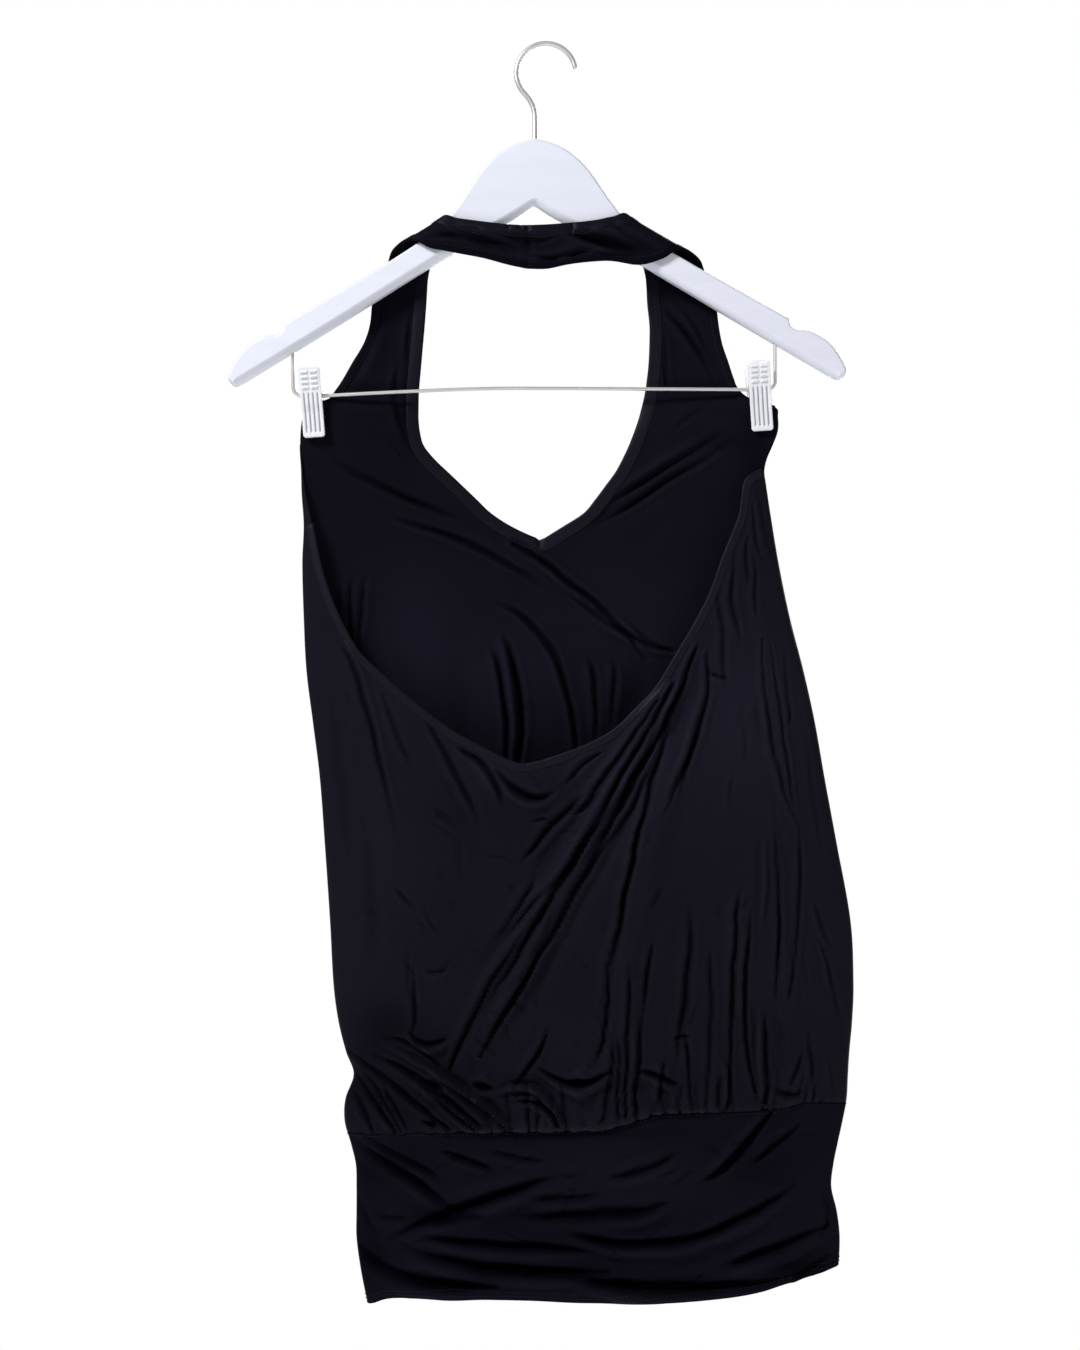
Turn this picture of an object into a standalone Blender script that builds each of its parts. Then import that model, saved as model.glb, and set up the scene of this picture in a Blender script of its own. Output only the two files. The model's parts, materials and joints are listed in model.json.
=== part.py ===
"""Halter neck top on a wooden clip hanger, in metres, +Z up.

The origin is the inner crown of the hanger's hook, where a rail carries it.
The top hangs with its back towards -Y. +X is to the right of someone looking along +Y.
Sizes and tables are in millimetres and become metres where a mesh is made.
"""

from collections import namedtuple
from math import cos, hypot, pi, radians, sin

import bmesh
import bpy
from mathutils import Matrix, Vector

MM = 0.001

# Cloth
CLOTH_WALL = 1.4
SEAM_GAP = 0.3
LAY_GAP = 0.6
BINDING_WALL = 0.8
BINDING_REACH = 5.5
NECK_BINDING_REACH = 8.0

# Hanger board
BOARD_THICKNESS = 14.0
BOARD_EDGE_ROUND = 4.5
BOARD_CENTRE_X = -8.2
BOARD_TILT_DEG = 0.6

# Hook and bar wires
HOOK_WIRE = 3.5
HOOK_INNER_RADIUS = 19.6
HOOK_TIP_DEG = 12.0
HOOK_THROAT_DEG = 218.0
BAR_WIRE = 2.6
HOLE_CLEARANCE = 0.3
CUTTER_REACH = 30.0
ROUND_STEPS = 16
HOOK_STEPS = 20

# Clips
CLIP_WIDTH = 15.5
JAW_WALL = 2.2
EAR_WALL = 1.5
EAR_RADIUS = 3.3
EAR_HOLE_RADIUS = 2.2
EAR_ROOTS = {-1: 5.2, 1: 7.4}
SPRING_OUTER_RADIUS = 2.9
SPRING_WIDTH = 7.0

WHITE_PAINT = (0.86, 0.86, 0.91)
STEEL = (0.62, 0.62, 0.66)
CLEAR_PLASTIC = (0.80, 0.84, 0.95)
BLACK_JERSEY = (0.012, 0.012, 0.017)
BLACK_BINDING = (0.018, 0.018, 0.024)

# Body of the top below the underarm, one row for each height, top to bottom.
# depth is half the body's thickness, and squareness shapes the section's round ends.
BodyRow = namedtuple("BodyRow", "height left right depth squareness")
BODY = [
    BodyRow(-246.0, -174.0, 165.0, 9.0, 1.15),
    BodyRow(-262.0, -175.0, 166.5, 9.2, 1.2),
    BodyRow(-275.0, -176.5, 167.5, 9.6, 1.3),
    BodyRow(-290.0, -177.0, 164.0, 10.0, 1.5),
    BodyRow(-305.0, -176.0, 157.0, 10.5, 1.8),
    BodyRow(-322.0, -175.5, 159.0, 11.0, 2.1),
    BodyRow(-345.0, -174.0, 162.5, 11.5, 2.3),
    BodyRow(-372.0, -175.0, 167.0, 12.0, 2.4),
    BodyRow(-411.0, -174.0, 175.0, 12.5, 2.5),
    BodyRow(-450.0, -172.0, 185.0, 13.0, 2.5),
    BodyRow(-486.0, -167.5, 193.0, 13.0, 2.5),
    BodyRow(-526.0, -162.5, 200.0, 13.5, 2.5),
    BodyRow(-572.0, -159.0, 208.5, 14.0, 2.5),
    BodyRow(-631.0, -155.0, 219.0, 14.5, 2.5),
    BodyRow(-676.0, -152.5, 221.0, 15.0, 2.5),
    BodyRow(-702.0, -149.0, 220.0, 15.0, 2.5),
    BodyRow(-724.0, -143.5, 218.0, 15.0, 2.5),
    BodyRow(-740.0, -138.0, 217.0, 15.0, 2.5),
    BodyRow(-758.0, -144.0, 216.0, 14.0, 2.5),
    BodyRow(-774.0, -144.5, 213.0, 12.5, 2.5),
    BodyRow(-790.0, -140.0, 209.5, 11.5, 2.5),
    BodyRow(-805.0, -136.5, 206.5, 11.0, 2.5),
    BodyRow(-821.0, -136.0, 205.0, 11.0, 2.5),
    BodyRow(-839.0, -136.0, 209.0, 11.3, 2.5),
    BodyRow(-857.0, -136.0, 211.0, 11.5, 2.5),
    BodyRow(-880.0, -133.0, 210.0, 11.5, 2.5),
    BodyRow(-903.0, -128.5, 207.0, 11.5, 2.5),
]

# Front panel from the V of the neckline up to below the hanger's arms, one row for each height:
# the outer edge (side, then armhole) and the neckline edge on each side, the depth of both
# edges from the middle plane, and the shape of the curve between them.
FrontRow = namedtuple("FrontRow", "height out_left in_left in_right out_right out_y in_y squareness")
FRONT = [
    FrontRow(-356.0, -174.5, -3.6, -3.6, 164.3, 0.15, 11.7, 2.3),
    FrontRow(-346.0, -174.0, -25.0, 12.5, 162.7, 0.15, 11.6, 2.2),
    FrontRow(-336.0, -174.4, -40.5, 28.0, 161.2, 0.15, 11.3, 2.1),
    FrontRow(-326.0, -175.2, -51.0, 36.5, 159.6, 0.15, 11.0, 1.9),
    FrontRow(-316.0, -175.7, -61.5, 44.0, 158.4, 0.15, 10.6, 1.6),
    FrontRow(-306.5, -176.0, -71.5, 51.0, 157.2, 0.15, 10.3, 1.35),
    FrontRow(-297.5, -176.6, -81.0, 56.0, 159.0, 0.15, 10.0, 1.15),
    FrontRow(-287.0, -177.0, -89.5, 61.0, 163.5, 0.15, 9.8, 1.0),
    FrontRow(-277.0, -176.6, -92.5, 65.0, 167.0, 0.15, 9.6, 0.85),
    FrontRow(-267.0, -175.3, -93.6, 68.5, 167.0, 0.15, 9.6, 0.8),
    FrontRow(-260.0, -173.0, -93.6, 70.3, 165.0, 0.15, 9.6, 0.8),
    FrontRow(-256.5, -159.0, -93.5, 71.2, 150.5, 2.6, 9.6, 0.9),
    FrontRow(-247.5, -151.5, -93.2, 73.0, 139.0, 5.4, 9.6, 1.0),
    FrontRow(-239.0, -146.0, -92.5, 74.2, 135.2, 6.4, 9.6, 1.1),
    FrontRow(-227.0, -139.5, -91.4, 75.5, 131.5, 7.8, 9.6, 1.2),
    FrontRow(-213.0, -131.5, -90.2, 76.1, 127.0, 9.0, 9.6, 1.2),
    FrontRow(-199.5, -127.0, -89.0, 76.2, 124.5, 9.5, 9.6, 1.2),
    FrontRow(-184.0, -125.3, -87.8, 74.6, 122.8, 9.6, 9.6, 1.2),
]
CORNER_HEIGHT = -260.0

# Each strap's armhole edge (out) and neckline edge (in), across and up: one row behind the
# hanger, the two ends of its crossing on the top line of the arm, then the rows in front.
StrapRow = namedtuple("StrapRow", "out_x out_z in_x in_z")
STRAP_Y = 9.9
STRAP_BEHIND = {
    -1: StrapRow(-119.6, -173.8, -85.4, -158.0),
    1: StrapRow(119.6, -177.0, 72.2, -158.0),
}
CROSSING_START = {
    -1: StrapRow(-113.0, -157.2, -77.0, -130.8),
    1: StrapRow(113.7, -163.5, 61.0, -128.0),
}
CROSSING_END = {
    -1: StrapRow(-89.2, -141.0, -70.0, -125.2),
    1: StrapRow(88.0, -148.2, 54.0, -124.0),
}
ARM_NORMAL = {
    -1: StrapRow(-0.55, 0.835, -0.64, 0.77),
    1: StrapRow(0.51, 0.86, 0.61, 0.79),
}
STRAP_FRONT = {
    -1: [
        StrapRow(-83.0, -147.0, -64.0, -127.8),
        StrapRow(-74.0, -148.8, -56.5, -128.9),
        StrapRow(-62.5, -151.0, -48.0, -130.0),
        StrapRow(-44.0, -154.5, -37.0, -131.3),
        StrapRow(-27.5, -159.0, -25.5, -132.5),
        StrapRow(-13.6, -162.0, -13.6, -133.0),
    ],
    1: [
        StrapRow(83.5, -154.6, 49.5, -126.4),
        StrapRow(66.5, -159.3, 43.0, -127.8),
        StrapRow(47.0, -156.5, 37.0, -129.1),
        StrapRow(31.5, -157.0, 26.0, -130.5),
        StrapRow(15.5, -159.0, 14.0, -131.5),
        StrapRow(1.0, -162.0, 1.0, -132.5),
        StrapRow(-13.6, -162.0, -13.6, -133.0),
    ],
}

# Crossing over the rounded top of the arm: share of the way across, depth, and the two edges'
# rise above it.
CrossRow = namedtuple("CrossRow", "share y out_rise in_rise")
CROSSING = [
    CrossRow(-0.2, 9.9, -4.5, -4.5),
    CrossRow(0.08, 7.7, 3.6, 1.4),
    CrossRow(0.3, 2.7, 7.0, 3.2),
    CrossRow(0.62, -2.7, 6.8, 2.8),
    CrossRow(0.86, -9.2, 2.0, 0.8),
]

# Points along the edges that aren't level: across and up.
EdgePoint = namedtuple("EdgePoint", "x z")
SCOOP = [
    EdgePoint(-176.6, -287.0),
    EdgePoint(-175.2, -305.0),
    EdgePoint(-172.8, -322.0),
    EdgePoint(-168.0, -344.0),
    EdgePoint(-161.5, -375.0),
    EdgePoint(-152.0, -403.0),
    EdgePoint(-140.5, -426.0),
    EdgePoint(-132.0, -438.5),
    EdgePoint(-118.0, -452.0),
    EdgePoint(-94.0, -473.0),
    EdgePoint(-69.0, -492.0),
    EdgePoint(-45.0, -505.0),
    EdgePoint(-27.0, -514.0),
    EdgePoint(-13.0, -516.5),
    EdgePoint(11.5, -509.5),
    EdgePoint(34.0, -500.5),
    EdgePoint(50.5, -490.5),
    EdgePoint(66.0, -475.0),
    EdgePoint(79.5, -460.0),
    EdgePoint(95.5, -434.0),
    EdgePoint(107.0, -414.5),
    EdgePoint(117.0, -395.0),
    EdgePoint(127.0, -368.0),
    EdgePoint(138.0, -341.0),
    EdgePoint(140.5, -328.0),
    EdgePoint(143.0, -314.0),
    EdgePoint(149.5, -308.0),
    EdgePoint(156.4, -304.5),
]
HIP_SEAM = [
    EdgePoint(-143.0, -781.0),
    EdgePoint(-130.0, -781.5),
    EdgePoint(-86.0, -779.5),
    EdgePoint(-10.0, -778.0),
    EdgePoint(38.0, -776.5),
    EdgePoint(64.0, -770.0),
    EdgePoint(84.0, -765.0),
    EdgePoint(157.0, -763.0),
    EdgePoint(180.0, -758.0),
    EdgePoint(215.0, -760.0),
]
HEM = [
    EdgePoint(-127.0, -904.0),
    EdgePoint(-102.0, -898.0),
    EdgePoint(-20.0, -898.5),
    EdgePoint(30.0, -900.5),
    EdgePoint(73.0, -899.5),
    EdgePoint(143.0, -894.0),
    EdgePoint(171.0, -887.5),
    EdgePoint(209.0, -876.5),
]

# Largest folds: a soft ridge (height above zero) or trough (below) from one end to the other.
# Each fades out past its ends, over FOLD_RUN_OUT of its length.
Fold = namedtuple("Fold", "x0 z0 x1 z1 width height")
FOLD_RUN_OUT = 0.2
BACK_FOLDS = [
    Fold(85.0, -462.0, -55.0, -720.0, 16.0, 5.0),
    Fold(104.0, -450.0, 42.0, -735.0, 15.0, 4.0),
    Fold(95.0, -480.0, -20.0, -700.0, 11.0, -4.0),
    Fold(150.0, -380.0, 178.0, -560.0, 14.0, 4.0),
    Fold(-145.0, -440.0, -105.0, -590.0, 14.0, 4.0),
    Fold(-82.0, -490.0, -45.0, -570.0, 12.0, -3.5),
    Fold(-122.0, -725.0, -25.0, -778.0, 12.0, 4.0),
    Fold(-30.0, -742.0, 95.0, -745.0, 11.0, -3.5),
    Fold(160.0, -630.0, 168.0, -750.0, 12.0, -3.5),
    Fold(60.0, -660.0, 58.0, -755.0, 11.0, 3.5),
    Fold(108.0, -640.0, 104.0, -755.0, 11.0, 3.0),
]
FRONT_FOLDS = [
    Fold(-160.0, -300.0, -10.0, -370.0, 14.0, 4.0),
    Fold(140.0, -280.0, 35.0, -345.0, 13.0, 4.0),
    Fold(-20.0, -350.0, 70.0, -440.0, 12.0, -3.0),
    Fold(-60.0, -450.0, -40.0, -640.0, 16.0, 4.0),
    Fold(70.0, -450.0, 30.0, -680.0, 16.0, 4.5),
    Fold(-100.0, -520.0, -110.0, -720.0, 14.0, -4.0),
    Fold(130.0, -480.0, 120.0, -730.0, 15.0, -4.0),
]
BAND_FOLDS = [
    Fold(-120.0, -840.0, 30.0, -806.0, 10.0, 2.0),
    Fold(-115.0, -862.0, 150.0, -872.0, 9.0, -2.0),
    Fold(0.0, -850.0, 150.0, -820.0, 10.0, 2.0),
]

# Half of the board's outline before it is tilted: distance from its centre line, and height.
BoardPoint = namedtuple("BoardPoint", "out z")
BOARD_TOP = [
    BoardPoint(0.0, -68.5),
    BoardPoint(14.0, -72.5),
    BoardPoint(27.0, -80.0),
    BoardPoint(38.5, -91.5),
    BoardPoint(47.5, -104.5),
    BoardPoint(55.0, -115.5),
    BoardPoint(64.0, -126.0),
    BoardPoint(84.7, -142.5),
    BoardPoint(121.0, -165.0),
    BoardPoint(181.0, -199.7),
]
BOARD_TIP = [
    BoardPoint(181.5, -204.0),
    BoardPoint(186.0, -207.5),
    BoardPoint(196.0, -208.8),
    BoardPoint(209.5, -217.0),
    BoardPoint(218.5, -229.5),
    BoardPoint(221.5, -238.0),
    BoardPoint(217.5, -242.8),
    BoardPoint(211.0, -240.2),
]
BOARD_UNDER = [
    BoardPoint(171.0, -216.4),
    BoardPoint(134.5, -194.5),
    BoardPoint(75.5, -158.3),
    BoardPoint(50.0, -143.8),
    BoardPoint(28.5, -132.4),
    BoardPoint(12.0, -122.9),
    BoardPoint(0.0, -115.0),
]

# The shank below the hook's circle, and the bar: across and up.
SHANK = [
    EdgePoint(-12.0, -38.6),
    EdgePoint(-8.9, -45.5),
    EdgePoint(-8.0, -54.0),
    EdgePoint(-8.0, -88.0),
]
BAR = [
    EdgePoint(-182.2, -212.5),
    EdgePoint(-182.2, -241.0),
    EdgePoint(-181.4, -248.0),
    EdgePoint(-177.8, -251.7),
    EdgePoint(-172.0, -252.2),
    EdgePoint(-160.0, -251.9),
    EdgePoint(-104.0, -249.0),
    EdgePoint(-46.0, -246.8),
    EdgePoint(1.0, -246.6),
    EdgePoint(73.0, -247.0),
    EdgePoint(143.0, -247.4),
    EdgePoint(155.0, -247.4),
    EdgePoint(161.5, -246.8),
    EdgePoint(164.7, -243.5),
    EdgePoint(165.0, -237.0),
    EdgePoint(165.0, -204.5),
]

# Each clip: its pivot on the bar, and how it tilts and turns.
ClipPlace = namedtuple("ClipPlace", "name x z tilt_deg turn_deg")
CLIPS = [
    ClipPlace("left", -168.6, -252.1, 4.3, 2.0),
    ClipPlace("right", 153.4, -247.4, 4.0, 1.0),
]
# The jaws' inner faces from the grip down to the tip: height from the pivot and depth.
JawPoint = namedtuple("JawPoint", "z front back")
JAWS = [
    JawPoint(19.5, 7.5, 9.0),
    JawPoint(4.0, 4.2, 6.4),
    JawPoint(-6.0, 3.6, 6.3),
    JawPoint(-13.0, 2.6, 4.6),
    JawPoint(-30.0, 2.6, 4.2),
]

# How the cloth's grids are laid out: shares across half the front, heights down the body, and
# the columns and rows of the back and the hip band.
COLUMN_SHARES = [0.0, 0.03, 0.09, 0.18, 0.3, 0.43, 0.57, 0.71, 0.85, 1.0]
BODY_LEVELS = [-376.0, -398.0, -424.0, -452.0, -482.0, -514.0, -548.0, -584.0, -620.0, -654.0]
BODY_LEVELS += [-684.0, -706.0, -724.0, -740.0]
LAST_BODY_SHARES = [0.5, 1.0]
BACK_LEVEL_COUNT = 13
FIRST_BOUND_COLUMN = 3
LEAST_STEP = 0.0015
BAND_ROWS = 7

# The front's rows meet its edges aslant. A binding's reach along a row is divided by how square
# the row is to the edge, which is held above the least value and is set by hand at the V.
LEAST_SQUARE = 0.42
V_SQUARE = 0.82
V_ROWS = 4
# How far the binding's own normals turn towards the cloth's deeper ones, edge to inner hem.
HEM_TURNS = (0.0, 0.25, 0.5)


def read_row(table, height):
    """The table's row at a height, with each column eased between the rows around it."""
    rows = sorted(table, key=lambda row: -row.height)
    height = min(max(height, rows[-1].height), rows[0].height)
    index = 0
    while index < len(rows) - 2 and rows[index + 1].height > height:
        index += 1
    before, after = rows[index], rows[index + 1]
    earlier, later = rows[max(index - 1, 0)], rows[min(index + 2, len(rows) - 1)]
    span = before.height - after.height
    share = (before.height - height) / span

    def eased(a, b, c, d):
        start = (c - a) * span / (earlier.height - after.height)
        end = (d - b) * span / (before.height - later.height)
        s2, s3 = share * share, share**3
        base = (2 * s3 - 3 * s2 + 1) * b + (3 * s2 - 2 * s3) * c
        return base + (s3 - 2 * s2 + share) * start + (s3 - s2) * end

    return type(before)(*(eased(*group) for group in zip(earlier, before, after, later)))


def height_on(edge, x):
    """The height of a left-to-right edge at x."""
    for first, second in zip(edge, edge[1:]):
        if x <= second.x:
            break
    share = (x - first.x) / (second.x - first.x)
    return first.z + (second.z - first.z) * min(max(share, 0.0), 1.0)


def fold_depth(folds, x, z):
    """How far the folds push the cloth outwards at a place."""
    total = 0.0
    for fold in folds:
        along_x, along_z = fold.x1 - fold.x0, fold.z1 - fold.z0
        length = hypot(along_x, along_z)
        share = ((x - fold.x0) * along_x + (z - fold.z0) * along_z) / length**2
        off = ((x - fold.x0) * along_z - (z - fold.z0) * along_x) / length
        run = (share + FOLD_RUN_OUT) / (1.0 + 2.0 * FOLD_RUN_OUT)
        if 0.0 < run < 1.0 and abs(off) < fold.width:
            across = 0.5 + 0.5 * cos(pi * off / fold.width)
            total += fold.height * across * sin(pi * run)
    return total


def body_fraction(x, z):
    row = read_row(BODY, z)
    return (x - row.left) / (row.right - row.left)


def body_point(fraction, z, side, folds):
    """A point of the body's middle surface: side is -1 on the back and 1 on the front."""
    row = read_row(BODY, z)
    x = row.left + (row.right - row.left) * fraction
    reach = min(abs(2.0 * fraction - 1.0), 1.0)
    bulge = (1.0 - reach**row.squareness) ** (1.0 / row.squareness)
    y = SEAM_GAP / 2 + (row.depth - SEAM_GAP / 2) * bulge
    y += fold_depth(folds, x, z) * bulge**2
    return Vector((x, side * y, z))


def front_point(row, side, share):
    """A point of the front's upper part: share 0 is the outer edge and 1 the neckline."""
    outer, inner = (row.out_left, row.in_left) if side < 0 else (row.out_right, row.in_right)
    bulge = (1.0 - (1.0 - share) ** row.squareness) ** (1.0 / row.squareness)
    x = outer + (inner - outer) * share
    y = row.out_y + (row.in_y - row.out_y) * bulge
    y += fold_depth(FRONT_FOLDS, x, row.height) * min(bulge, sin(pi * share)) ** 2
    return Vector((x, y, row.height))


def strap_point(row, y, share):
    x = row.out_x + (row.in_x - row.out_x) * share
    z = row.out_z + (row.in_z - row.out_z) * share
    return Vector((x, y, z))


def crossing_point(side, cross, share):
    """A point where a strap passes over its arm."""
    start, end, normal = CROSSING_START[side], CROSSING_END[side], ARM_NORMAL[side]
    row = StrapRow(*(a + (b - a) * cross.share for a, b in zip(start, end)))
    rises = (cross.out_rise, cross.out_rise, cross.in_rise, cross.in_rise)
    lifted = StrapRow(*(a + b * rise for a, b, rise in zip(row, normal, rises)))
    return strap_point(lifted, cross.y, share)


def strap_rows(side):
    """The rows of one strap, from behind the hanger to the centre-back neck seam."""
    rows = [[strap_point(STRAP_BEHIND[side], STRAP_Y, share) for share in COLUMN_SHARES]]
    rows += [[crossing_point(side, cross, share) for share in COLUMN_SHARES] for cross in CROSSING]
    for row in STRAP_FRONT[side]:
        rows.append([strap_point(row, -STRAP_Y, share) for share in COLUMN_SHARES])
    return rows


def front_half(side):
    """The middle surface of half the front, as rows from the hip seam to the neck seam."""
    rows = []
    turns = (lambda share: share / 2) if side < 0 else (lambda share: 1 - share / 2)
    for level in reversed(LAST_BODY_SHARES):
        row = []
        for share in COLUMN_SHARES:
            x = body_point(turns(share), BODY_LEVELS[-1], 1, []).x
            low = height_on(HIP_SEAM, x) + SEAM_GAP / 2
            z = BODY_LEVELS[-1] + (low - BODY_LEVELS[-1]) * level
            row.append(body_point(turns(share), z, 1, FRONT_FOLDS))
        rows.append(row)
    for level in reversed(BODY_LEVELS):
        rows.append([body_point(turns(share), level, 1, FRONT_FOLDS) for share in COLUMN_SHARES])
    for row in FRONT:
        rows.append([front_point(row, side, share) for share in COLUMN_SHARES])
    rows += strap_rows(side)
    return rows


def back_edges():
    """For each column of the back: its place on the scoop, and the place that the binding's
    inner edge reaches. Both are a share of the body's width and a height."""
    pairs = []
    last = len(SCOOP) - 1
    for index, edge in enumerate(SCOOP):
        before, after = SCOOP[max(index - 1, 0)], SCOOP[min(index + 1, last)]
        along = Vector((after.x - before.x, after.z - before.z)).normalized()
        inward = Vector((along.y, -along.x)) * BINDING_REACH
        top = {0: 0.0, last: 1.0}.get(index, body_fraction(edge.x, edge.z))
        if FIRST_BOUND_COLUMN <= index < last:
            reach, low = body_fraction(edge.x + inward.x, edge.z + inward.y), edge.z + inward.y
        else:
            reach, low = top, edge.z - BINDING_REACH
        if 0 < index < last:
            reach = min(max(reach, pairs[-1][2] + LEAST_STEP), 1.0 - LEAST_STEP)
        pairs.append((top, edge.z, reach, low))
    return pairs


def back_columns():
    """The middle surface of the back, as columns from the scoop down to the hip seam."""
    columns = []
    for (top, high, reach, low), share_low in zip(back_edges(), back_fractions()):
        low_x = body_point(share_low, BODY_LEVELS[-1], -1, []).x
        seam = height_on(HIP_SEAM, low_x) + SEAM_GAP / 2
        column = [body_point(top, high, -1, BACK_FOLDS)]
        for level in range(BACK_LEVEL_COUNT + 1):
            share = level / BACK_LEVEL_COUNT
            fraction, z = reach + (share_low - reach) * share, low + (seam - low) * share
            column.append(body_point(fraction, z, -1, BACK_FOLDS))
        columns.append(column)
    return columns


def back_fractions():
    """Where the back's columns meet the hip seam, as shares of the width."""
    last = len(SCOOP) - 1
    return [0.5 * index / last + 0.5 * pair[0] for index, pair in enumerate(back_edges())]


def front_fractions():
    left = [share / 2 for share in COLUMN_SHARES]
    return left + [1 - share for share in reversed(left[:-1])]


def band_rows(side, fractions, folds):
    """The middle surface of one half of the hip band, as rows from the seam to the hem."""
    rows = []
    for level in range(BAND_ROWS + 1):
        row = []
        for fraction in fractions:
            x = body_point(fraction, BODY_LEVELS[-1], side, []).x
            high = height_on(HIP_SEAM, x) - SEAM_GAP / 2
            low = height_on(HEM, body_point(fraction, HEM[2].z, side, []).x)
            z = high + (low - high) * level / BAND_ROWS
            row.append(body_point(fraction, z, side, folds))
        rows.append(row)
    return rows


def finish(name, bm, material):
    """Turns a mesh in millimetres into a named object in metres."""
    bmesh.ops.transform(bm, matrix=Matrix.Scale(MM, 4), verts=bm.verts)
    mesh = bpy.data.meshes.new(name)
    bm.to_mesh(mesh)
    bm.free()
    mesh.materials.append(material)
    mesh.shade_smooth()
    mesh.set_sharp_from_angle(angle=radians(40))
    piece = bpy.data.objects.new(name, mesh)
    bpy.context.scene.collection.objects.link(piece)
    return piece


def cloth(name, grids, outward, material):
    """A wall of cloth on a middle surface. outward is the way its first face looks."""
    bm = bmesh.new()
    for rows in grids:
        points = [[bm.verts.new(point) for point in row] for row in rows]
        for row, after in zip(points, points[1:]):
            for column in range(len(row) - 1):
                bm.faces.new((row[column], row[column + 1], after[column + 1], after[column]))
    bmesh.ops.remove_doubles(bm, verts=bm.verts, dist=0.001)
    bmesh.ops.recalc_face_normals(bm, faces=bm.faces)
    bm.normal_update()
    bm.faces.ensure_lookup_table()
    if bm.faces[len(bm.faces) // 3].normal.dot(Vector(outward)) < 0:
        bmesh.ops.reverse_faces(bm, faces=bm.faces)
        bm.normal_update()
    middle_x = sum(vertex.co.x for vertex in bm.verts) / len(bm.verts)
    surface = list(bm.faces)
    borders = [(edge.verts[0], edge.verts[1]) for edge in bm.edges if edge.is_boundary]
    borders = [pair if runs_along(*pair) else pair[::-1] for pair in borders]
    outside, inside = {}, {}
    for vertex in list(bm.verts):
        way = vertex.normal.copy()
        if vertex.is_boundary and abs(vertex.co.y) < SEAM_GAP:
            way = Vector((1.0 if vertex.co.x > middle_x else -1.0, 0.0, 0.0))
        outside[vertex] = vertex.co + way * CLOTH_WALL / 2
        inside[vertex] = vertex.co - way * CLOTH_WALL / 2
    outer = {vertex: bm.verts.new(place) for vertex, place in outside.items()}
    inner = {vertex: bm.verts.new(place) for vertex, place in inside.items()}
    for face in surface:
        bm.faces.new([outer[vertex] for vertex in face.verts])
        bm.faces.new([inner[vertex] for vertex in reversed(face.verts)])
    for start, end in borders:
        bm.faces.new((outer[end], outer[start], inner[start], inner[end]))
    bmesh.ops.delete(bm, geom=list(outside), context="VERTS")
    return finish(name, bm, material)


def runs_along(start, end):
    """Whether the one face at a border edge runs from start to end."""
    edge = next(edge for edge in start.link_edges if edge.other_vert(start) == end)
    corners = list(edge.link_faces[0].verts)
    return corners[(corners.index(start) + 1) % len(corners)] == end


def walk(points, distance):
    """The place a distance along a line of points."""
    for start, end in zip(points, points[1:]):
        step = (end - start).length
        if distance <= step:
            return start.lerp(end, distance / step)
        distance -= step
    return points[-1]


def grid_normal(rows, index, place, outward):
    """The surface's normal at a point of a grid, on the side that outward names."""
    along = rows[min(index + 1, len(rows) - 1)][place] - rows[max(index - 1, 0)][place]
    row = rows[index]
    place = place % len(row)
    across = row[min(place + 1, len(row) - 1)] - row[max(place - 1, 0)]
    return along.cross(across).normalized() * outward


def binding(name, sections, material):
    """A strip folded round an edge. Each section gives the edge, the place inside the cloth
    that the strip reaches, one half way, the normals there, and how square the strip's line
    is to the edge."""
    near = CLOTH_WALL / 2 + LAY_GAP
    far = near + BINDING_WALL
    bm = bmesh.new()
    rings = []
    for places, normals, square in sections:
        edge, half, reach = places
        inward = (half - edge).normalized() / square
        out_edge = edge - inward * (LAY_GAP + BINDING_WALL)
        in_edge = edge - inward * LAY_GAP
        ring = [reach + normals[2] * far, half + normals[1] * far, out_edge + normals[0] * far]
        ring += [out_edge - normals[0] * far, half - normals[1] * far, reach - normals[2] * far]
        ring += [reach - normals[2] * near, half - normals[1] * near, in_edge - normals[0] * near]
        ring += [in_edge + normals[0] * near, half + normals[1] * near, reach + normals[2] * near]
        rings.append([bm.verts.new(point) for point in ring])
    for ring, after in zip(rings, rings[1:]):
        for corner in range(len(ring)):
            follow = (corner + 1) % len(ring)
            bm.faces.new((ring[corner], ring[follow], after[follow], after[corner]))
    for ring in (rings[0], rings[-1]):
        last = len(ring) - 1
        for corner in range(last // 2):
            bm.faces.new((ring[corner], ring[corner + 1], ring[last - 1 - corner], ring[last - corner]))
    bmesh.ops.recalc_face_normals(bm, faces=bm.faces)
    return finish(name, bm, material)


def edge_sections(rows, first, place, reach, outward, corner_line):
    """Binding sections along the first or last column of a grid, from row first up."""
    step = 1 if place == 0 else -1
    sections = []
    for index in range(first, len(rows)):
        row = rows[index] if step > 0 else rows[index][::-1]
        before = rows[max(index - 1, first)][place]
        after = rows[min(index + 1, len(rows) - 1)][place]
        across = (row[1] - row[0]).normalized()
        square = max(across.cross((after - before).normalized()).length, LEAST_SQUARE)
        line = row
        if corner_line and index == first:
            line, square = corner_line, V_SQUARE
        places = [row[0], walk(line, reach * 0.5 / square), walk(line, reach / square)]
        normal = grid_normal(rows, index, place, outward)
        deeper = grid_normal(rows, index, place + 2 * step, outward)
        normals = [normal.lerp(deeper, turn).normalized() for turn in HEM_TURNS]
        sections.append((places, normals, square))
    return sections


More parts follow.
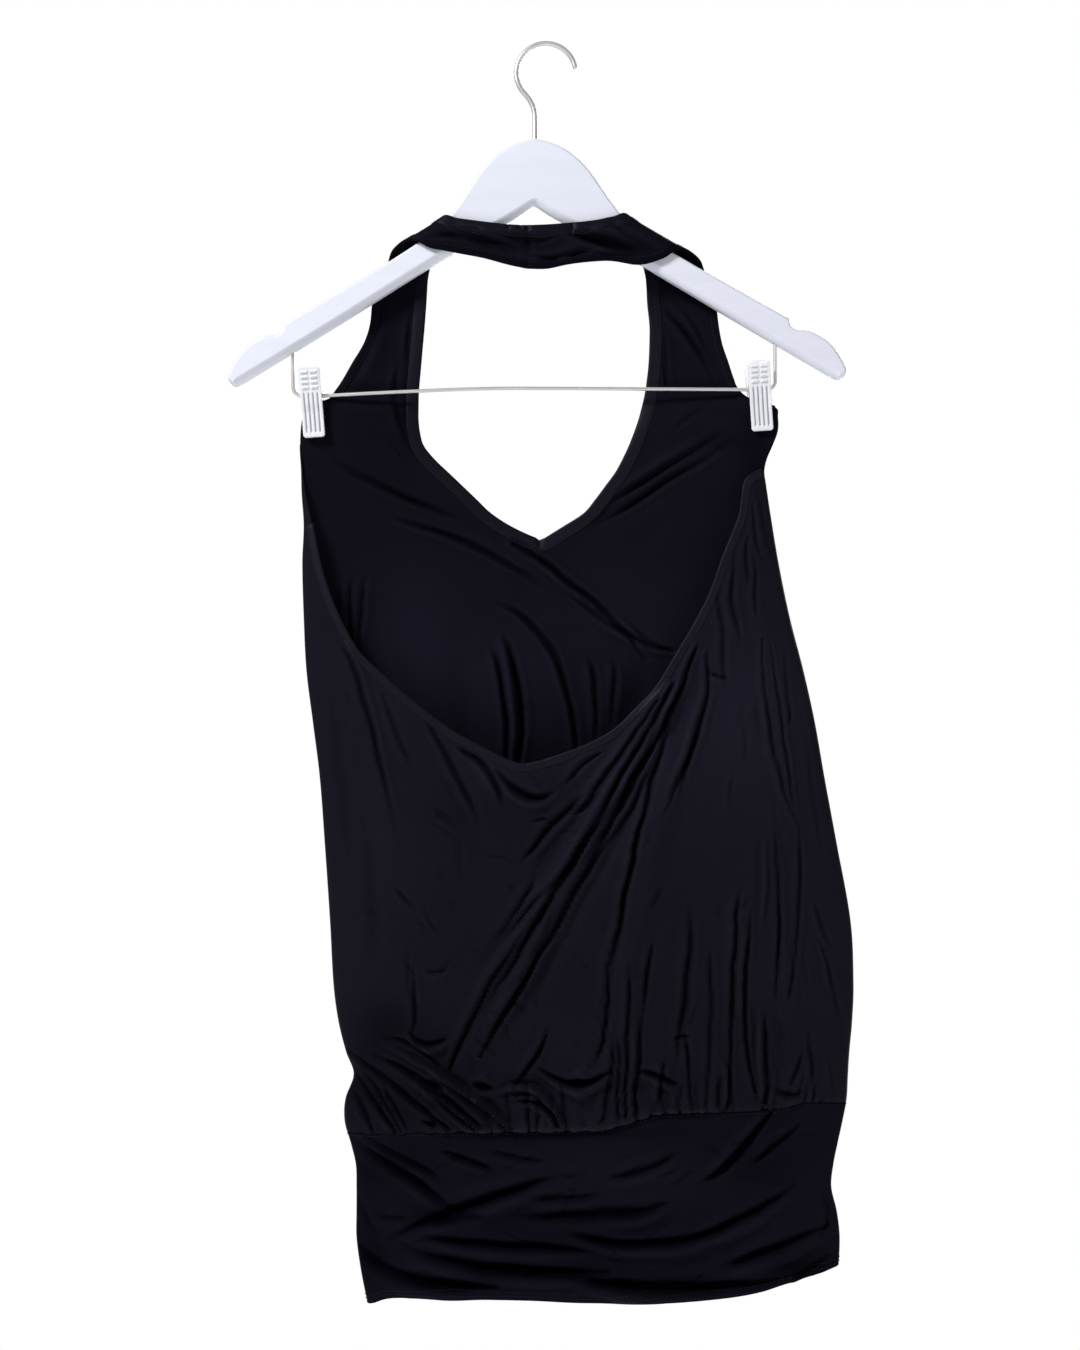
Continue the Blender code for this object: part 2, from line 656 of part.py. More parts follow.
def scoop_sections(columns):
    """Binding sections along the back's scoop, from the back's own points."""
    bound = columns[FIRST_BOUND_COLUMN:-1]
    sections = []
    for index, column in enumerate(bound):
        before, after = bound[max(index - 1, 0)], bound[min(index + 1, len(bound) - 1)]
        edge, reach = column[0], column[1]
        normals = []
        for place in (0, 1):
            along = after[place] - before[place]
            normals.append(along.cross(edge - reach).normalized())
        middle = (normals[0] + normals[1]).normalized()
        places = [edge, (edge + reach) / 2, reach]
        sections.append((places, [normals[0], middle, normals[1]], 1.0))
    return sections


def smooth_path(points, steps):
    """Points on a smooth curve through the given ones."""
    ends = [2 * points[0] - points[1], *points, 2 * points[-1] - points[-2]]
    path = []
    for a, b, c, d in zip(ends, ends[1:], ends[2:], ends[3:]):
        for step in range(steps):
            t = step / steps
            path.append(0.5 * (2 * b + (c - a) * t + (2 * a - 5 * b + 4 * c - d) * t * t
                               + (3 * b - a - 3 * c + d) * t**3))
    return [*path, points[-1]]


def wire(name, path, diameter, material):
    curve = bpy.data.curves.new(name, "CURVE")
    curve.dimensions = "3D"
    curve.bevel_depth = diameter / 2 * MM
    curve.bevel_resolution = 2
    curve.use_fill_caps = True
    spline = curve.splines.new("POLY")
    spline.points.add(len(path) - 1)
    for point, place in zip(spline.points, path):
        point.co = (*(place * MM), 1.0)
    curve.materials.append(material)
    piece = bpy.data.objects.new(name, curve)
    bpy.context.scene.collection.objects.link(piece)
    return piece


def prism(bm, outline, start, end, axis):
    """A solid between two copies of an outline. Axis x takes (y, z) and axis y takes (x, z)."""
    def place(first, z, across):
        return (across, first, z) if axis == "x" else (first, across, z)

    low = [bm.verts.new(place(*point, start)) for point in outline]
    high = [bm.verts.new(place(*point, end)) for point in outline]
    bm.faces.new(low)
    bm.faces.new(high[::-1])
    for corner in range(len(outline)):
        follow = (corner + 1) % len(outline)
        bm.faces.new((low[follow], low[corner], high[corner], high[follow]))
    bmesh.ops.recalc_face_normals(bm, faces=bm.faces)


def cutter(name, x, z_low, z_high, radius):
    """A hidden upright round cutter."""
    bm = bmesh.new()
    middle = Matrix.Translation((x, 0.0, (z_low + z_high) / 2))
    bmesh.ops.create_cone(bm, cap_ends=True, segments=ROUND_STEPS, radius1=radius, radius2=radius,
                          depth=z_high - z_low, matrix=middle)
    return hide(finish(name, bm, make_material("cutter", WHITE_PAINT, 0.5, 0.0)))


def hide(piece):
    piece.hide_render = True
    piece.display_type = "WIRE"
    return piece


def cut(piece, tool, operation="DIFFERENCE"):
    modifier = piece.modifiers.new(tool.name, "BOOLEAN")
    modifier.operation = operation
    modifier.object = tool


def make_material(name, colour, roughness, metallic):
    material = bpy.data.materials.get(name) or bpy.data.materials.new(name)
    material.use_nodes = True
    shader = material.node_tree.nodes["Principled BSDF"]
    shader.inputs["Base Color"].default_value = (*colour, 1.0)
    shader.inputs["Roughness"].default_value = roughness
    shader.inputs["Metallic"].default_value = metallic
    return material


def board_outline():
    """The board's outline in its own upright frame, then tilted about its centre line."""
    half = smooth_path([Vector(point) for point in BOARD_TOP], 2)
    half += smooth_path([Vector(point) for point in BOARD_TIP], 2)
    half += smooth_path([Vector(point) for point in BOARD_UNDER], 2)
    mirrored = [Vector((-point.x, point.y)) for point in reversed(half[1:-1])]
    turn = Matrix.Rotation(radians(BOARD_TILT_DEG), 2)
    pivot = Vector((0.0, BOARD_TOP[0].z))
    places = [turn @ (point - pivot) + pivot for point in half + mirrored]
    return [(point.x + BOARD_CENTRE_X, point.y) for point in places]


def make_board():
    bm = bmesh.new()
    prism(bm, board_outline(), -BOARD_THICKNESS / 2, BOARD_THICKNESS / 2, "y")
    board = finish("hanger_board", bm, make_material("white_paint", WHITE_PAINT, 0.35, 0.0))
    rounding = board.modifiers.new("rounded edges", "BEVEL")
    rounding.width = BOARD_EDGE_ROUND * MM
    rounding.segments = 3
    rounding.angle_limit = radians(60)
    shank = SHANK[-1]
    bottom, top = shank.z - HOLE_CLEARANCE, shank.z + CUTTER_REACH
    cut(board, cutter("shank_hole", shank.x, bottom, top, HOOK_WIRE / 2 + HOLE_CLEARANCE))
    for number, end in enumerate((BAR[0], BAR[-1])):
        bottom, top = end.z - CUTTER_REACH, end.z + HOLE_CLEARANCE
        cut(board, cutter(f"bar_hole_{number}", end.x, bottom, top, BAR_WIRE / 2 + HOLE_CLEARANCE))


def make_hook():
    radius = HOOK_INNER_RADIUS + HOOK_WIRE / 2
    path = []
    for step in range(HOOK_STEPS + 1):
        angle = radians(HOOK_TIP_DEG + (HOOK_THROAT_DEG - HOOK_TIP_DEG) * step / HOOK_STEPS)
        path.append(Vector((radius * cos(angle), 0.0, radius * sin(angle) - HOOK_INNER_RADIUS)))
    shank = [Vector((point.x, 0.0, point.z)) for point in SHANK]
    path = path[:-1] + smooth_path([path[-1], *shank], 4)
    wire("hanger_hook", path, HOOK_WIRE, make_material("steel", STEEL, 0.25, 1.0))


def make_bar():
    path = smooth_path([Vector((point.x, 0.0, point.z)) for point in BAR], 3)
    wire("clip_bar", path, BAR_WIRE, make_material("steel", STEEL, 0.25, 1.0))


def ear_outline(side):
    """An ear's outline: round past the bar, and square where it meets its jaw."""
    steps = 8
    angles = [pi * step / steps - pi / 2 for step in range(steps + 1)]
    outline = [(-side * EAR_RADIUS * cos(angle), EAR_RADIUS * sin(angle)) for angle in angles]
    root = side * EAR_ROOTS[side]
    return outline + [(root, EAR_RADIUS), (root, -EAR_RADIUS)]


def make_jaw(place, which, side):
    """One jaw: a bent plate with two ears that ride on the bar. side is -1 in front."""
    inner = [(side * getattr(point, which), point.z) for point in JAWS]
    outer = [(y + side * JAW_WALL, z) for y, z in reversed(inner)]
    half = CLIP_WIDTH / 2
    plastic = make_material("clear_plastic", CLEAR_PLASTIC, 0.15, 0.0)
    bm = bmesh.new()
    prism(bm, inner + outer, -half, half, "x")
    jaw = finish(f"clip_{place.name}_{which}_jaw", bm, plastic)
    ear_out = half if side < 0 else half - EAR_WALL - HOLE_CLEARANCE
    bm = bmesh.new()
    for hand in (-1, 1):
        ends = sorted((hand * ear_out, hand * (ear_out - EAR_WALL)))
        prism(bm, ear_outline(side), *ends, "x")
    ears = hide(finish(f"{jaw.name}_ears", bm, plastic))
    bm = bmesh.new()
    across = Matrix.Rotation(pi / 2, 4, "Y")
    bmesh.ops.create_cone(bm, cap_ends=True, segments=ROUND_STEPS, radius1=EAR_HOLE_RADIUS,
                          radius2=EAR_HOLE_RADIUS, depth=CLIP_WIDTH * 2, matrix=across)
    hole = hide(finish(f"{jaw.name}_hole", bm, plastic))
    cut(jaw, ears, "UNION")
    cut(jaw, hole)
    for piece in (jaw, ears, hole):
        place_on_bar(piece, place, EAR_HOLE_RADIUS - BAR_WIRE / 2 - 2 * HOLE_CLEARANCE)


def place_on_bar(piece, place, drop):
    piece.location = Vector((place.x, 0.0, place.z - drop)) * MM
    piece.rotation_euler = (0.0, radians(-place.tilt_deg), radians(place.turn_deg))


def make_spring(place):
    """The spring between the jaws, as a plain sleeve round the bar."""
    outer, inner, half = SPRING_OUTER_RADIUS, BAR_WIRE / 2 + HOLE_CLEARANCE, SPRING_WIDTH / 2
    angles = [2 * pi * step / ROUND_STEPS for step in range(ROUND_STEPS)]
    bm = bmesh.new()
    rings = []
    for radius, x in ((outer, -half), (outer, half), (inner, half), (inner, -half)):
        rings.append([bm.verts.new((x, radius * cos(a), radius * sin(a))) for a in angles])
    for ring, after in zip(rings, rings[1:] + rings[:1]):
        for step in range(ROUND_STEPS):
            follow = (step + 1) % ROUND_STEPS
            bm.faces.new((ring[step], ring[follow], after[follow], after[step]))
    bmesh.ops.recalc_face_normals(bm, faces=bm.faces)
    spring = finish(f"clip_{place.name}_spring", bm, make_material("steel", STEEL, 0.25, 1.0))
    place_on_bar(spring, place, 0.0)
    spring.rotation_euler = (0.0, 0.0, 0.0)


def make_top():
    jersey = make_material("black_jersey", BLACK_JERSEY, 0.75, 0.0)
    tape = make_material("black_binding", BLACK_BINDING, 0.7, 0.0)
    halves = {-1: front_half(-1), 1: front_half(1)}
    cloth("front_panel", list(halves.values()), (0.0, 1.0, 0.0), jersey)
    columns = back_columns()
    cloth("back_panel", [columns], (0.0, -1.0, 0.0), jersey)
    cloth("hip_band_front", [band_rows(1, front_fractions(), [])], (0.0, 1.0, 0.0), jersey)
    cloth("hip_band_back", [band_rows(-1, back_fractions(), BAND_FOLDS)], (0.0, -1.0, 0.0), jersey)
    v_row = len(LAST_BODY_SHARES) + len(BODY_LEVELS)
    corner_row = v_row + [row.height for row in FRONT].index(CORNER_HEIGHT)
    for side, word in ((-1, "left"), (1, "right")):
        rows = halves[side]
        middle = [rows[index][-1] for index in range(v_row, v_row - V_ROWS, -1)]
        neck = edge_sections(rows, v_row, -1, NECK_BINDING_REACH, side, middle)
        armhole = edge_sections(rows, corner_row, 0, BINDING_REACH, side, None)
        for place in (*neck[0][0], *neck[-1][0], *armhole[-1][0]):
            place.x += side * SEAM_GAP / 2
        binding(f"neck_binding_{word}", neck, tape)
        binding(f"armhole_binding_{word}", armhole, tape)
    binding("back_binding", scoop_sections(columns), tape)


def main():
    for piece in list(bpy.data.objects):
        bpy.data.objects.remove(piece, do_unlink=True)
    make_board()
    make_hook()
    make_bar()
    for place in CLIPS:
        make_jaw(place, "front", -1)
        make_jaw(place, "back", 1)
        make_spring(place)
    make_top()


main()
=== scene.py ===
import json
from collections import namedtuple
from math import cos, pi, radians, sin

import bmesh
import bpy
import numpy as np
from mathutils import Euler, Matrix, Vector
from mathutils.bvhtree import BVHTree

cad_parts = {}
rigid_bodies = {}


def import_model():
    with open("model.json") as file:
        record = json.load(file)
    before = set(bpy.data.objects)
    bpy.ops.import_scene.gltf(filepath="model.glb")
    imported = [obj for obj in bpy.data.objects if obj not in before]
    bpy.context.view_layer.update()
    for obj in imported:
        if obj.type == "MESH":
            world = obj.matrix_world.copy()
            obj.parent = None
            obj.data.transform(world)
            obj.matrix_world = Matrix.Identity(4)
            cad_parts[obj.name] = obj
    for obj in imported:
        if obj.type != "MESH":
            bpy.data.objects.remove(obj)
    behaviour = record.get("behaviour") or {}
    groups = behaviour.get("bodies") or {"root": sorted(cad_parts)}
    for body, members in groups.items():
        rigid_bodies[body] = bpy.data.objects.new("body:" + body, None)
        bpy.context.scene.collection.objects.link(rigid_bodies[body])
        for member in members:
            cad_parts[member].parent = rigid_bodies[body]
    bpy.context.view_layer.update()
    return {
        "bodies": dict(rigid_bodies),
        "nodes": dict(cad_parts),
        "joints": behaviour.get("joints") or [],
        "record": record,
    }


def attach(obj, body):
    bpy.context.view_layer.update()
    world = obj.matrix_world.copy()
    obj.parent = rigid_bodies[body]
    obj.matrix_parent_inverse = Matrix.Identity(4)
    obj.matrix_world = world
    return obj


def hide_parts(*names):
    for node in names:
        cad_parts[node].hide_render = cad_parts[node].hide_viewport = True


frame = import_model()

# Sizes and tables are in millimetres and become metres where a mesh is made. Where a table has
# one entry for each side, -1 is the left or the back, and 1 is the right or the front.
MM = 0.001
BODY = "root"


def table(kind, rows):
    """Named rows from plain ones."""
    return [kind(*row) for row in rows]


# ---------------------------------------------------------------- camera
CAMERA_DISTANCE = 1100.0
CAMERA_AIM_X = -4.3
CAMERA_AIM_Z = -452.9
VIEW_HEIGHT = 972.0
SENSOR = 36.0

# ---------------------------------------------------------------- cloth sizes
JERSEY_WALL = 0.9
SEAM_GAP = 0.3
BINDING_REACH = 4.8
NECK_BINDING_REACH = 8.0
BINDING_LIFT = 0.75
BINDING_EDGE = 1.0
STITCH_LENGTH = 2.3
STITCH_STEP = 3.1
STITCH_WIDTH = 0.45
BINDING_WALL_THIN = 0.4
# The places across a binding, from its hem to the edge, as shares of its reach, and its roundness.
BINDING_SHARES = (1.0, 0.9, 0.55, 0.2, 0.0)
BINDING_SWELL = 0.35
BINDING_HEM_PRESS = 0.1
BINDING_NOSE = 0.6
BINDING_FOLD_HALF = 0.3
STITCH_RISE = 0.35
STITCH_ROW = 0.15
NECK_STITCH_ROWS = (0.1, 0.9)
SEAM_STITCH_LIFT = 0.6
HEM_STITCH_INSETS = (5, 8)
HOLLOW_DEPTH = 2.0
FOLD_SHARE = 0.8
FOLD_RUN_ON = 0.2
CALM_POWER = 1.5

# The hip seam stands up along its middle: where it rises, where it sinks again, and by how much.
SEAM_RISES = (-95.0, -25.0)
SEAM_SINKS = (95.0, 130.0)
SEAM_SINK_SHARE = 0.7
SEAM_ROLL = 0.3
SEAM_ROLL_WIDTH = 2.6
SEAM_PUFF = 1.6
SEAM_PUFF_HEIGHT = 3.5
SEAM_PUFF_WIDTH = 2.6
# Painted shade on the band just under the seam and painted highlight along a thin lip just above it on the
# back: how strong, the painted shade's width, and the lip's height above the seam and its width.
SEAM_SHADE = 1.2
SEAM_SHADE_WIDTH = 3.6
SEAM_HIGHLIGHT_HEIGHT = 1.2
SEAM_HIGHLIGHT_WIDTH = 1.5
SEAM_EDGE_SPAN = (-96.0, 128.0)
SEAM_EDGE_POINTS = 110
SEAM_EDGE_RADIUS = 0.75
SEAM_EDGE_RISE = 1.6
SEAM_EDGE_SINK = 1.4
SEAM_EDGE_SIDES = 8

# A crease's trough has a swell on each side, and both are steeper than the table's width says.
CREASE_WIDTH_SHARE = 0.8
CREASE_DEPTH_SHARE = 1.55
CREASE_POINTS = 21
CREASE_REACH = 4.5
CREASE_END_WIDTH = 0.62
SWELL_AWAY = 1.9
SWELL_WIDTH = 1.3
SWELL_HEIGHT = 0.95
# The painted highlight on a crease's swells, as a share of the painted shade in its trough.
SWELL_PAINTED_LIGHT = 0.5
SWELL_LEAN = 0.4
# The crease depth whose trough gets full painted shade, and the least and most painted shade; below zero it
# is painted highlight.
FULL_SHADE_DEPTH = 3.0
PAINTED_SHADE_RANGE = (-0.7, 1.5)
CREASE_FADE = 0.3
# How far the creases wander from their smooth lines, and over what length.
WANDER_ACROSS = (0.9, 34.0)
WANDER_FINE = (0.35, 11.0)
WANDER_UP = (0.9, 38.0)
WAVE_LENGTH = 90.0
FINE_WAVE_LENGTH = 30.0
FINE_WAVE_SHARE = 0.25
# Least and most for the seam's gathers and for the slight creases.
GATHER_LENGTHS = (10.0, 46.0)
GATHER_WIDTHS = (1.5, 2.4)
GATHER_DEPTHS = (0.6, 1.7)
SLIGHT_HALVES = (3.0, 17.0)
SLIGHT_WIDTHS = (1.4, 2.8)
SLIGHT_DEPTHS = (0.25, 1.0)

# How much painted shade the neckline binding gets on each side and across the collar, how far from the
# neckline the creases fade out, the heights between which the binding's painted shade turns to the
# collar's, and those between which the straps lose the panel's creases and then its painted shade.
COLLAR_SHADE = 0.75
NECK_SHADE = {-1: 0.55, 1: 0.0}
NECK_CALM = (6.5, 13.5)
COLLAR_HEIGHTS = (-215.0, -175.0)
STRAP_FADE_HEIGHTS = (-215.0, -186.0)
STRAP_SHADE_HEIGHTS = (-186.0, -172.0)
# Depths between which the collar's creases and its droop come in.
COLLAR_HANGS = (8.0, 9.6)
COLLAR_DROOPS = (6.0, 9.6)
COLLAR_DROOP = 0.9

# ---------------------------------------------------------------- hanger and clip sizes
BOARD_THICKNESS = 14.0
BOARD_TOP_ROUND = 1.6
BOARD_UNDER_ROUND = 4.5
BOARD_EDGE_POWER = 1.45
BOARD_FACE_RING = 0.4
BOARD_EDGE_STEPS = 8
BOARD_TURN = (0.1, 0.7)
BOARD_TIGHTEST = 0.6
BOARD_CENTRE_X = -8.2
BOARD_TILT_DEG = 0.6
HOOK_WIRE = 3.5
HOOK_SIDES = 20
HOOK_INNER_RADIUS = 19.6
HOOK_TIP_DEG = 12.0
HOOK_THROAT_DEG = 218.0
BAR_WIRE = 2.6
BAR_SIDES = 18
WIRE_END_DEGS = (80, 60, 40, 20)
HOLE_CLEARANCE = 0.3
CLIP_WIDTH = 15.5
JAW_WALL = 2.2
JAW_CORNER = 2.2
JAW_EDGE = 0.7
JAW_COLUMNS = 63
JAW_LEVELS = 130
JAW_SHARP_DEG = 50
EAR_WALL = 1.5
EAR_RADIUS = 3.3
EAR_HOLE_RADIUS = 2.2
EAR_SIDES = 48
EAR_EDGE = 0.15
EAR_FACE_SHARE = 0.97
EAR_ROOTS = {-1: 5.2, 1: 7.4}
JAW_DROP = EAR_HOLE_RADIUS - BAR_WIRE / 2 - 2 * HOLE_CLEARANCE
GRIP_ROWS = 4
GRIP_TOP = 16.2
GRIP_STEP = 3.6
GRIP_MIDDLE = 3.3
GRIP_HALF = 2.5
GRIP_HEIGHT = 0.7
GRIP_WIDTH = 0.75
GRIP_END = 0.4
# Painted shade under each grip ridge: how strong, how far below the ridge, and how wide.
GRIP_SHADE = 0.75
GRIP_SHADE_DROP = 1.5
GRIP_SHADE_WIDTH = 0.55
GROOVES = (-4.8, -1.6, 1.6, 4.8)
GROOVE_TOP = 1.5
GROOVE_DEPTH = 0.9
GROOVE_WIDTH = 0.62
# How wide the painted shade along each groove is.
GROOVE_SHADE_WIDTH = 0.5
GROOVE_FOOT = (2.6, 4.2)
SPRING_OUTER_RADIUS = 2.9
SPRING_WIDTH = 7.0
SPRING_WIRE = 0.7
SPRING_TURNS = 6
SPRING_TURN_POINTS = 24
SPRING_SIDES = 8
SPRING_FIRST_LEG = (9.0, 6.0, 2.5)
SPRING_LAST_LEG = (-2.5, -5.0)

# ---------------------------------------------------------------- cloth colours
# Each black cloth: its pale and deep colours, how strong the painted shade in its troughs and the painted
# highlight on its crests are, and its roughness, sheen and gloss.
ClothLook = namedtuple("ClothLook", "name light deep trough_dark crest_light roughness sheen gloss")
OUTER_LOOK = ClothLook("black jersey back", (0.0076, 0.0070, 0.0122), (0.0052, 0.0048, 0.0088),
                       0.92, 0.75, 0.58, 0.012, 0.05)
# The front's inside is a darker copy of the same jersey: partly the knit's wrong side, and partly painted
# shade for the shade that it lies in behind the back panel.
INNER_LOOK = ClothLook("black jersey front", (0.0053, 0.0047, 0.0088), (0.0036, 0.0032, 0.0064),
                       0.92, 0.75, 0.64, 0.006, 0.035)
BAND_LOOK = ClothLook("black jersey band", (0.0060, 0.0054, 0.0100), (0.0039, 0.0035, 0.0070),
                      0.97, 0.7, 0.62, 0.003, 0.022)
TAPE_LOOK = ClothLook("black binding", (0.0072, 0.0068, 0.0110), (0.0046, 0.0043, 0.0076),
                      0.9, 0.0, 0.52, 0.03, 0.14)
EDGING_LOOK = ClothLook("black edge binding", (0.0030, 0.0027, 0.0056), (0.0018, 0.0016, 0.0038),
                        0.9, 0.0, 0.62, 0.012, 0.07)
THREAD_LOOK = ClothLook("black thread", (0.0125, 0.0120, 0.0170), (0.0085, 0.0080, 0.0125),
                        0.9, 0.0, 0.5, 0.05, 0.16)
# The painted highlight's colour, as a multiple of the pale colour, and the painted shade's colour in the
# troughs.
PAINTED_HIGHLIGHT_GAIN = 2.1
PAINTED_SHADE_COLOUR = (0.0004, 0.0003, 0.0016)
WALE_WIDTH = 0.00062
COURSE_HEIGHT = 0.0005

# ---------------------------------------------------------------- studio sizes
WORLD_STRENGTH = 0.14
# Each soft round light, in metres and watts. All of them look at the middle of the top.
Light = namedtuple("Light", "name place size power")
LIGHT_AIM = (0.0, 0.0, -0.5)
LIGHTS = table(Light, [
    ("soft key", (-1.25, -1.2, 0.95), 0.6, 46.0),
    ("soft fill", (1.4, -1.3, -0.3), 1.4, 6.0),
    ("back light", (0.6, 1.6, 0.2), 1.4, 30.0),
])
FLOOR_Z = -1150.0
FLOOR_RADIUS = 2600.0
FLOOR_SIDES = 96

BodyRow = namedtuple("BodyRow", "height left right depth squareness")
BODY_ROWS = table(BodyRow, [
    (-246.0, -174.0, 165.0, 9.0, 1.15),
    (-262.0, -175.0, 166.5, 9.2, 1.2),
    (-275.0, -176.5, 167.5, 9.6, 1.3),
    (-290.0, -177.0, 164.0, 10.0, 1.5),
    (-305.0, -176.0, 157.0, 10.5, 1.8),
    (-322.0, -175.5, 159.0, 11.0, 2.1),
    (-345.0, -174.0, 162.5, 11.5, 2.3),
    (-372.0, -175.0, 167.0, 12.0, 2.4),
    (-411.0, -174.0, 175.0, 12.5, 2.5),
    (-450.0, -172.0, 185.0, 13.0, 2.5),
    (-486.0, -167.5, 193.0, 13.0, 2.5),
    (-526.0, -162.5, 200.0, 13.5, 2.5),
    (-572.0, -159.0, 208.5, 14.0, 2.5),
    (-631.0, -155.0, 219.0, 14.5, 2.5),
    (-676.0, -152.5, 221.0, 15.0, 2.5),
    (-702.0, -149.0, 220.0, 15.0, 2.5),
    (-724.0, -143.5, 218.0, 15.0, 2.5),
    (-740.0, -138.0, 217.0, 15.0, 2.5),
    (-758.0, -144.0, 216.0, 14.0, 2.5),
    (-774.0, -144.5, 213.0, 12.5, 2.5),
    (-790.0, -140.0, 209.5, 11.5, 2.5),
    (-805.0, -136.5, 206.5, 11.0, 2.5),
    (-821.0, -136.0, 205.0, 11.0, 2.5),
    (-839.0, -136.0, 209.0, 11.3, 2.5),
    (-857.0, -136.0, 211.0, 11.5, 2.5),
    (-880.0, -133.0, 210.0, 11.5, 2.5),
    (-903.0, -128.5, 207.0, 11.5, 2.5),
])

# Front panel from the V of the neckline up to below the hanger's arms, one row for each height:
# the outer edge (side, then armhole) and the neckline edge on each side, the depth of both
# edges from the middle plane, and the shape of the curve between them.
FrontRow = namedtuple("FrontRow", "height out_left in_left in_right out_right out_y in_y squareness")
FRONT = table(FrontRow, [
    (-356.0, -174.5, -3.6, -3.6, 164.3, 0.15, 11.7, 2.3),
    (-346.0, -174.0, -25.0, 12.5, 162.7, 0.15, 11.6, 2.2),
    (-336.0, -174.4, -40.5, 28.0, 161.2, 0.15, 11.3, 2.1),
    (-326.0, -175.2, -51.0, 36.5, 159.6, 0.15, 11.0, 1.9),
    (-316.0, -175.7, -61.5, 44.0, 158.4, 0.15, 10.6, 1.6),
    (-306.5, -176.0, -71.5, 51.0, 157.2, 0.15, 10.3, 1.35),
    (-297.5, -176.6, -81.0, 56.0, 159.0, 0.15, 10.0, 1.15),
    (-287.0, -177.0, -89.5, 61.0, 163.5, 0.15, 9.8, 1.0),
    (-277.0, -176.6, -92.5, 65.0, 167.0, 0.15, 9.6, 0.85),
    (-267.0, -175.3, -93.6, 68.5, 167.0, 0.15, 9.6, 0.8),
    (-260.0, -173.0, -93.6, 70.3, 165.0, 0.15, 9.6, 0.8),
    (-256.5, -159.0, -93.5, 71.2, 150.5, 2.6, 9.6, 0.9),
    (-247.5, -151.5, -93.2, 73.0, 139.0, 5.4, 9.6, 1.0),
    (-239.0, -146.0, -92.5, 74.2, 135.2, 6.4, 9.6, 1.1),
    (-227.0, -139.5, -91.4, 75.5, 131.5, 7.8, 9.6, 1.2),
    (-213.0, -131.5, -90.2, 76.1, 127.0, 9.0, 9.6, 1.2),
    (-199.5, -127.0, -89.0, 76.2, 124.5, 9.5, 9.6, 1.2),
    (-184.0, -125.3, -87.8, 74.6, 122.8, 9.6, 9.6, 1.2),
])
CORNER_HEIGHT = -260.0

# Each strap's armhole edge (out) and neckline edge (in), across and up: one row behind the
# hanger, the two ends of its crossing on the top line of the arm, then the rows in front.
StrapRow = namedtuple("StrapRow", "out_x out_z in_x in_z")
STRAP_Y = 9.9
STRAP_BEHIND = {
    -1: StrapRow(-119.6, -173.8, -85.4, -158.0),
    1: StrapRow(119.6, -177.0, 72.2, -158.0),
}
CROSSING_START = {
    -1: StrapRow(-113.0, -157.2, -77.0, -130.8),
    1: StrapRow(113.7, -163.5, 61.0, -128.0),
}
CROSSING_END = {
    -1: StrapRow(-89.2, -141.0, -70.0, -125.2),
    1: StrapRow(88.0, -148.2, 54.0, -124.0),
}
ARM_NORMAL = {
    -1: StrapRow(-0.55, 0.835, -0.64, 0.77),
    1: StrapRow(0.51, 0.86, 0.61, 0.79),
}
STRAP_FRONT = {
    -1: [
        StrapRow(-83.0, -147.0, -64.0, -127.8),
        StrapRow(-74.0, -148.8, -56.5, -128.9),
        StrapRow(-62.5, -151.0, -48.0, -130.0),
        StrapRow(-44.0, -154.5, -37.0, -131.3),
        StrapRow(-27.5, -159.0, -25.5, -132.5),
        StrapRow(-13.6, -162.0, -13.6, -133.0),
    ],
    1: [
        StrapRow(83.5, -154.6, 49.5, -126.4),
        StrapRow(66.5, -159.3, 43.0, -127.8),
        StrapRow(47.0, -156.5, 37.0, -129.1),
        StrapRow(31.5, -157.0, 26.0, -130.5),
        StrapRow(15.5, -159.0, 14.0, -131.5),
        StrapRow(1.0, -162.0, 1.0, -132.5),
        StrapRow(-13.6, -162.0, -13.6, -133.0),
    ],
}

# Each row of a strap's way over the rounded top of the arm: its share of the way from the
# crossing's start to its end, its depth, and how far each edge stands above the arm's top line.
CrossRow = namedtuple("CrossRow", "share y out_rise in_rise")
CROSSING = table(CrossRow, [
    (-0.2, 9.9, -4.5, -4.5),
    (0.08, 7.7, 3.6, 1.4),
    (0.3, 2.7, 7.0, 3.2),
    (0.62, -2.7, 6.8, 2.8),
    (0.86, -9.2, 2.0, 0.8),
])

# Points along the edges that aren't level: across and up.
EdgePoint = namedtuple("EdgePoint", "x z")
SCOOP = table(EdgePoint, [
    (-176.6, -287.0), (-175.2, -305.0), (-172.8, -322.0), (-168.0, -344.0), (-161.5, -375.0),
    (-152.0, -403.0), (-140.5, -426.0), (-132.0, -438.5), (-118.0, -452.0), (-94.0, -473.0),
    (-69.0, -492.0), (-45.0, -505.0), (-27.0, -514.0), (-13.0, -516.5), (11.5, -509.5),
    (34.0, -500.5), (50.5, -490.5), (66.0, -475.0), (79.5, -460.0), (95.5, -434.0),
    (107.0, -414.5), (117.0, -395.0), (127.0, -368.0), (138.0, -341.0), (140.5, -328.0),
    (143.0, -314.0), (149.5, -308.0), (156.4, -304.5),
])
HIP_SEAM = table(EdgePoint, [
    (-143.0, -781.0), (-130.0, -781.5), (-86.0, -779.5), (-10.0, -778.0), (38.0, -776.5),
    (64.0, -770.0), (84.0, -765.0), (157.0, -763.0), (180.0, -758.0), (215.0, -760.0),
])
HEM = table(EdgePoint, [
    (-127.0, -904.0), (-102.0, -898.0), (-20.0, -898.5), (30.0, -900.5), (73.0, -899.5),
    (143.0, -894.0), (171.0, -887.5), (209.0, -876.5),
])

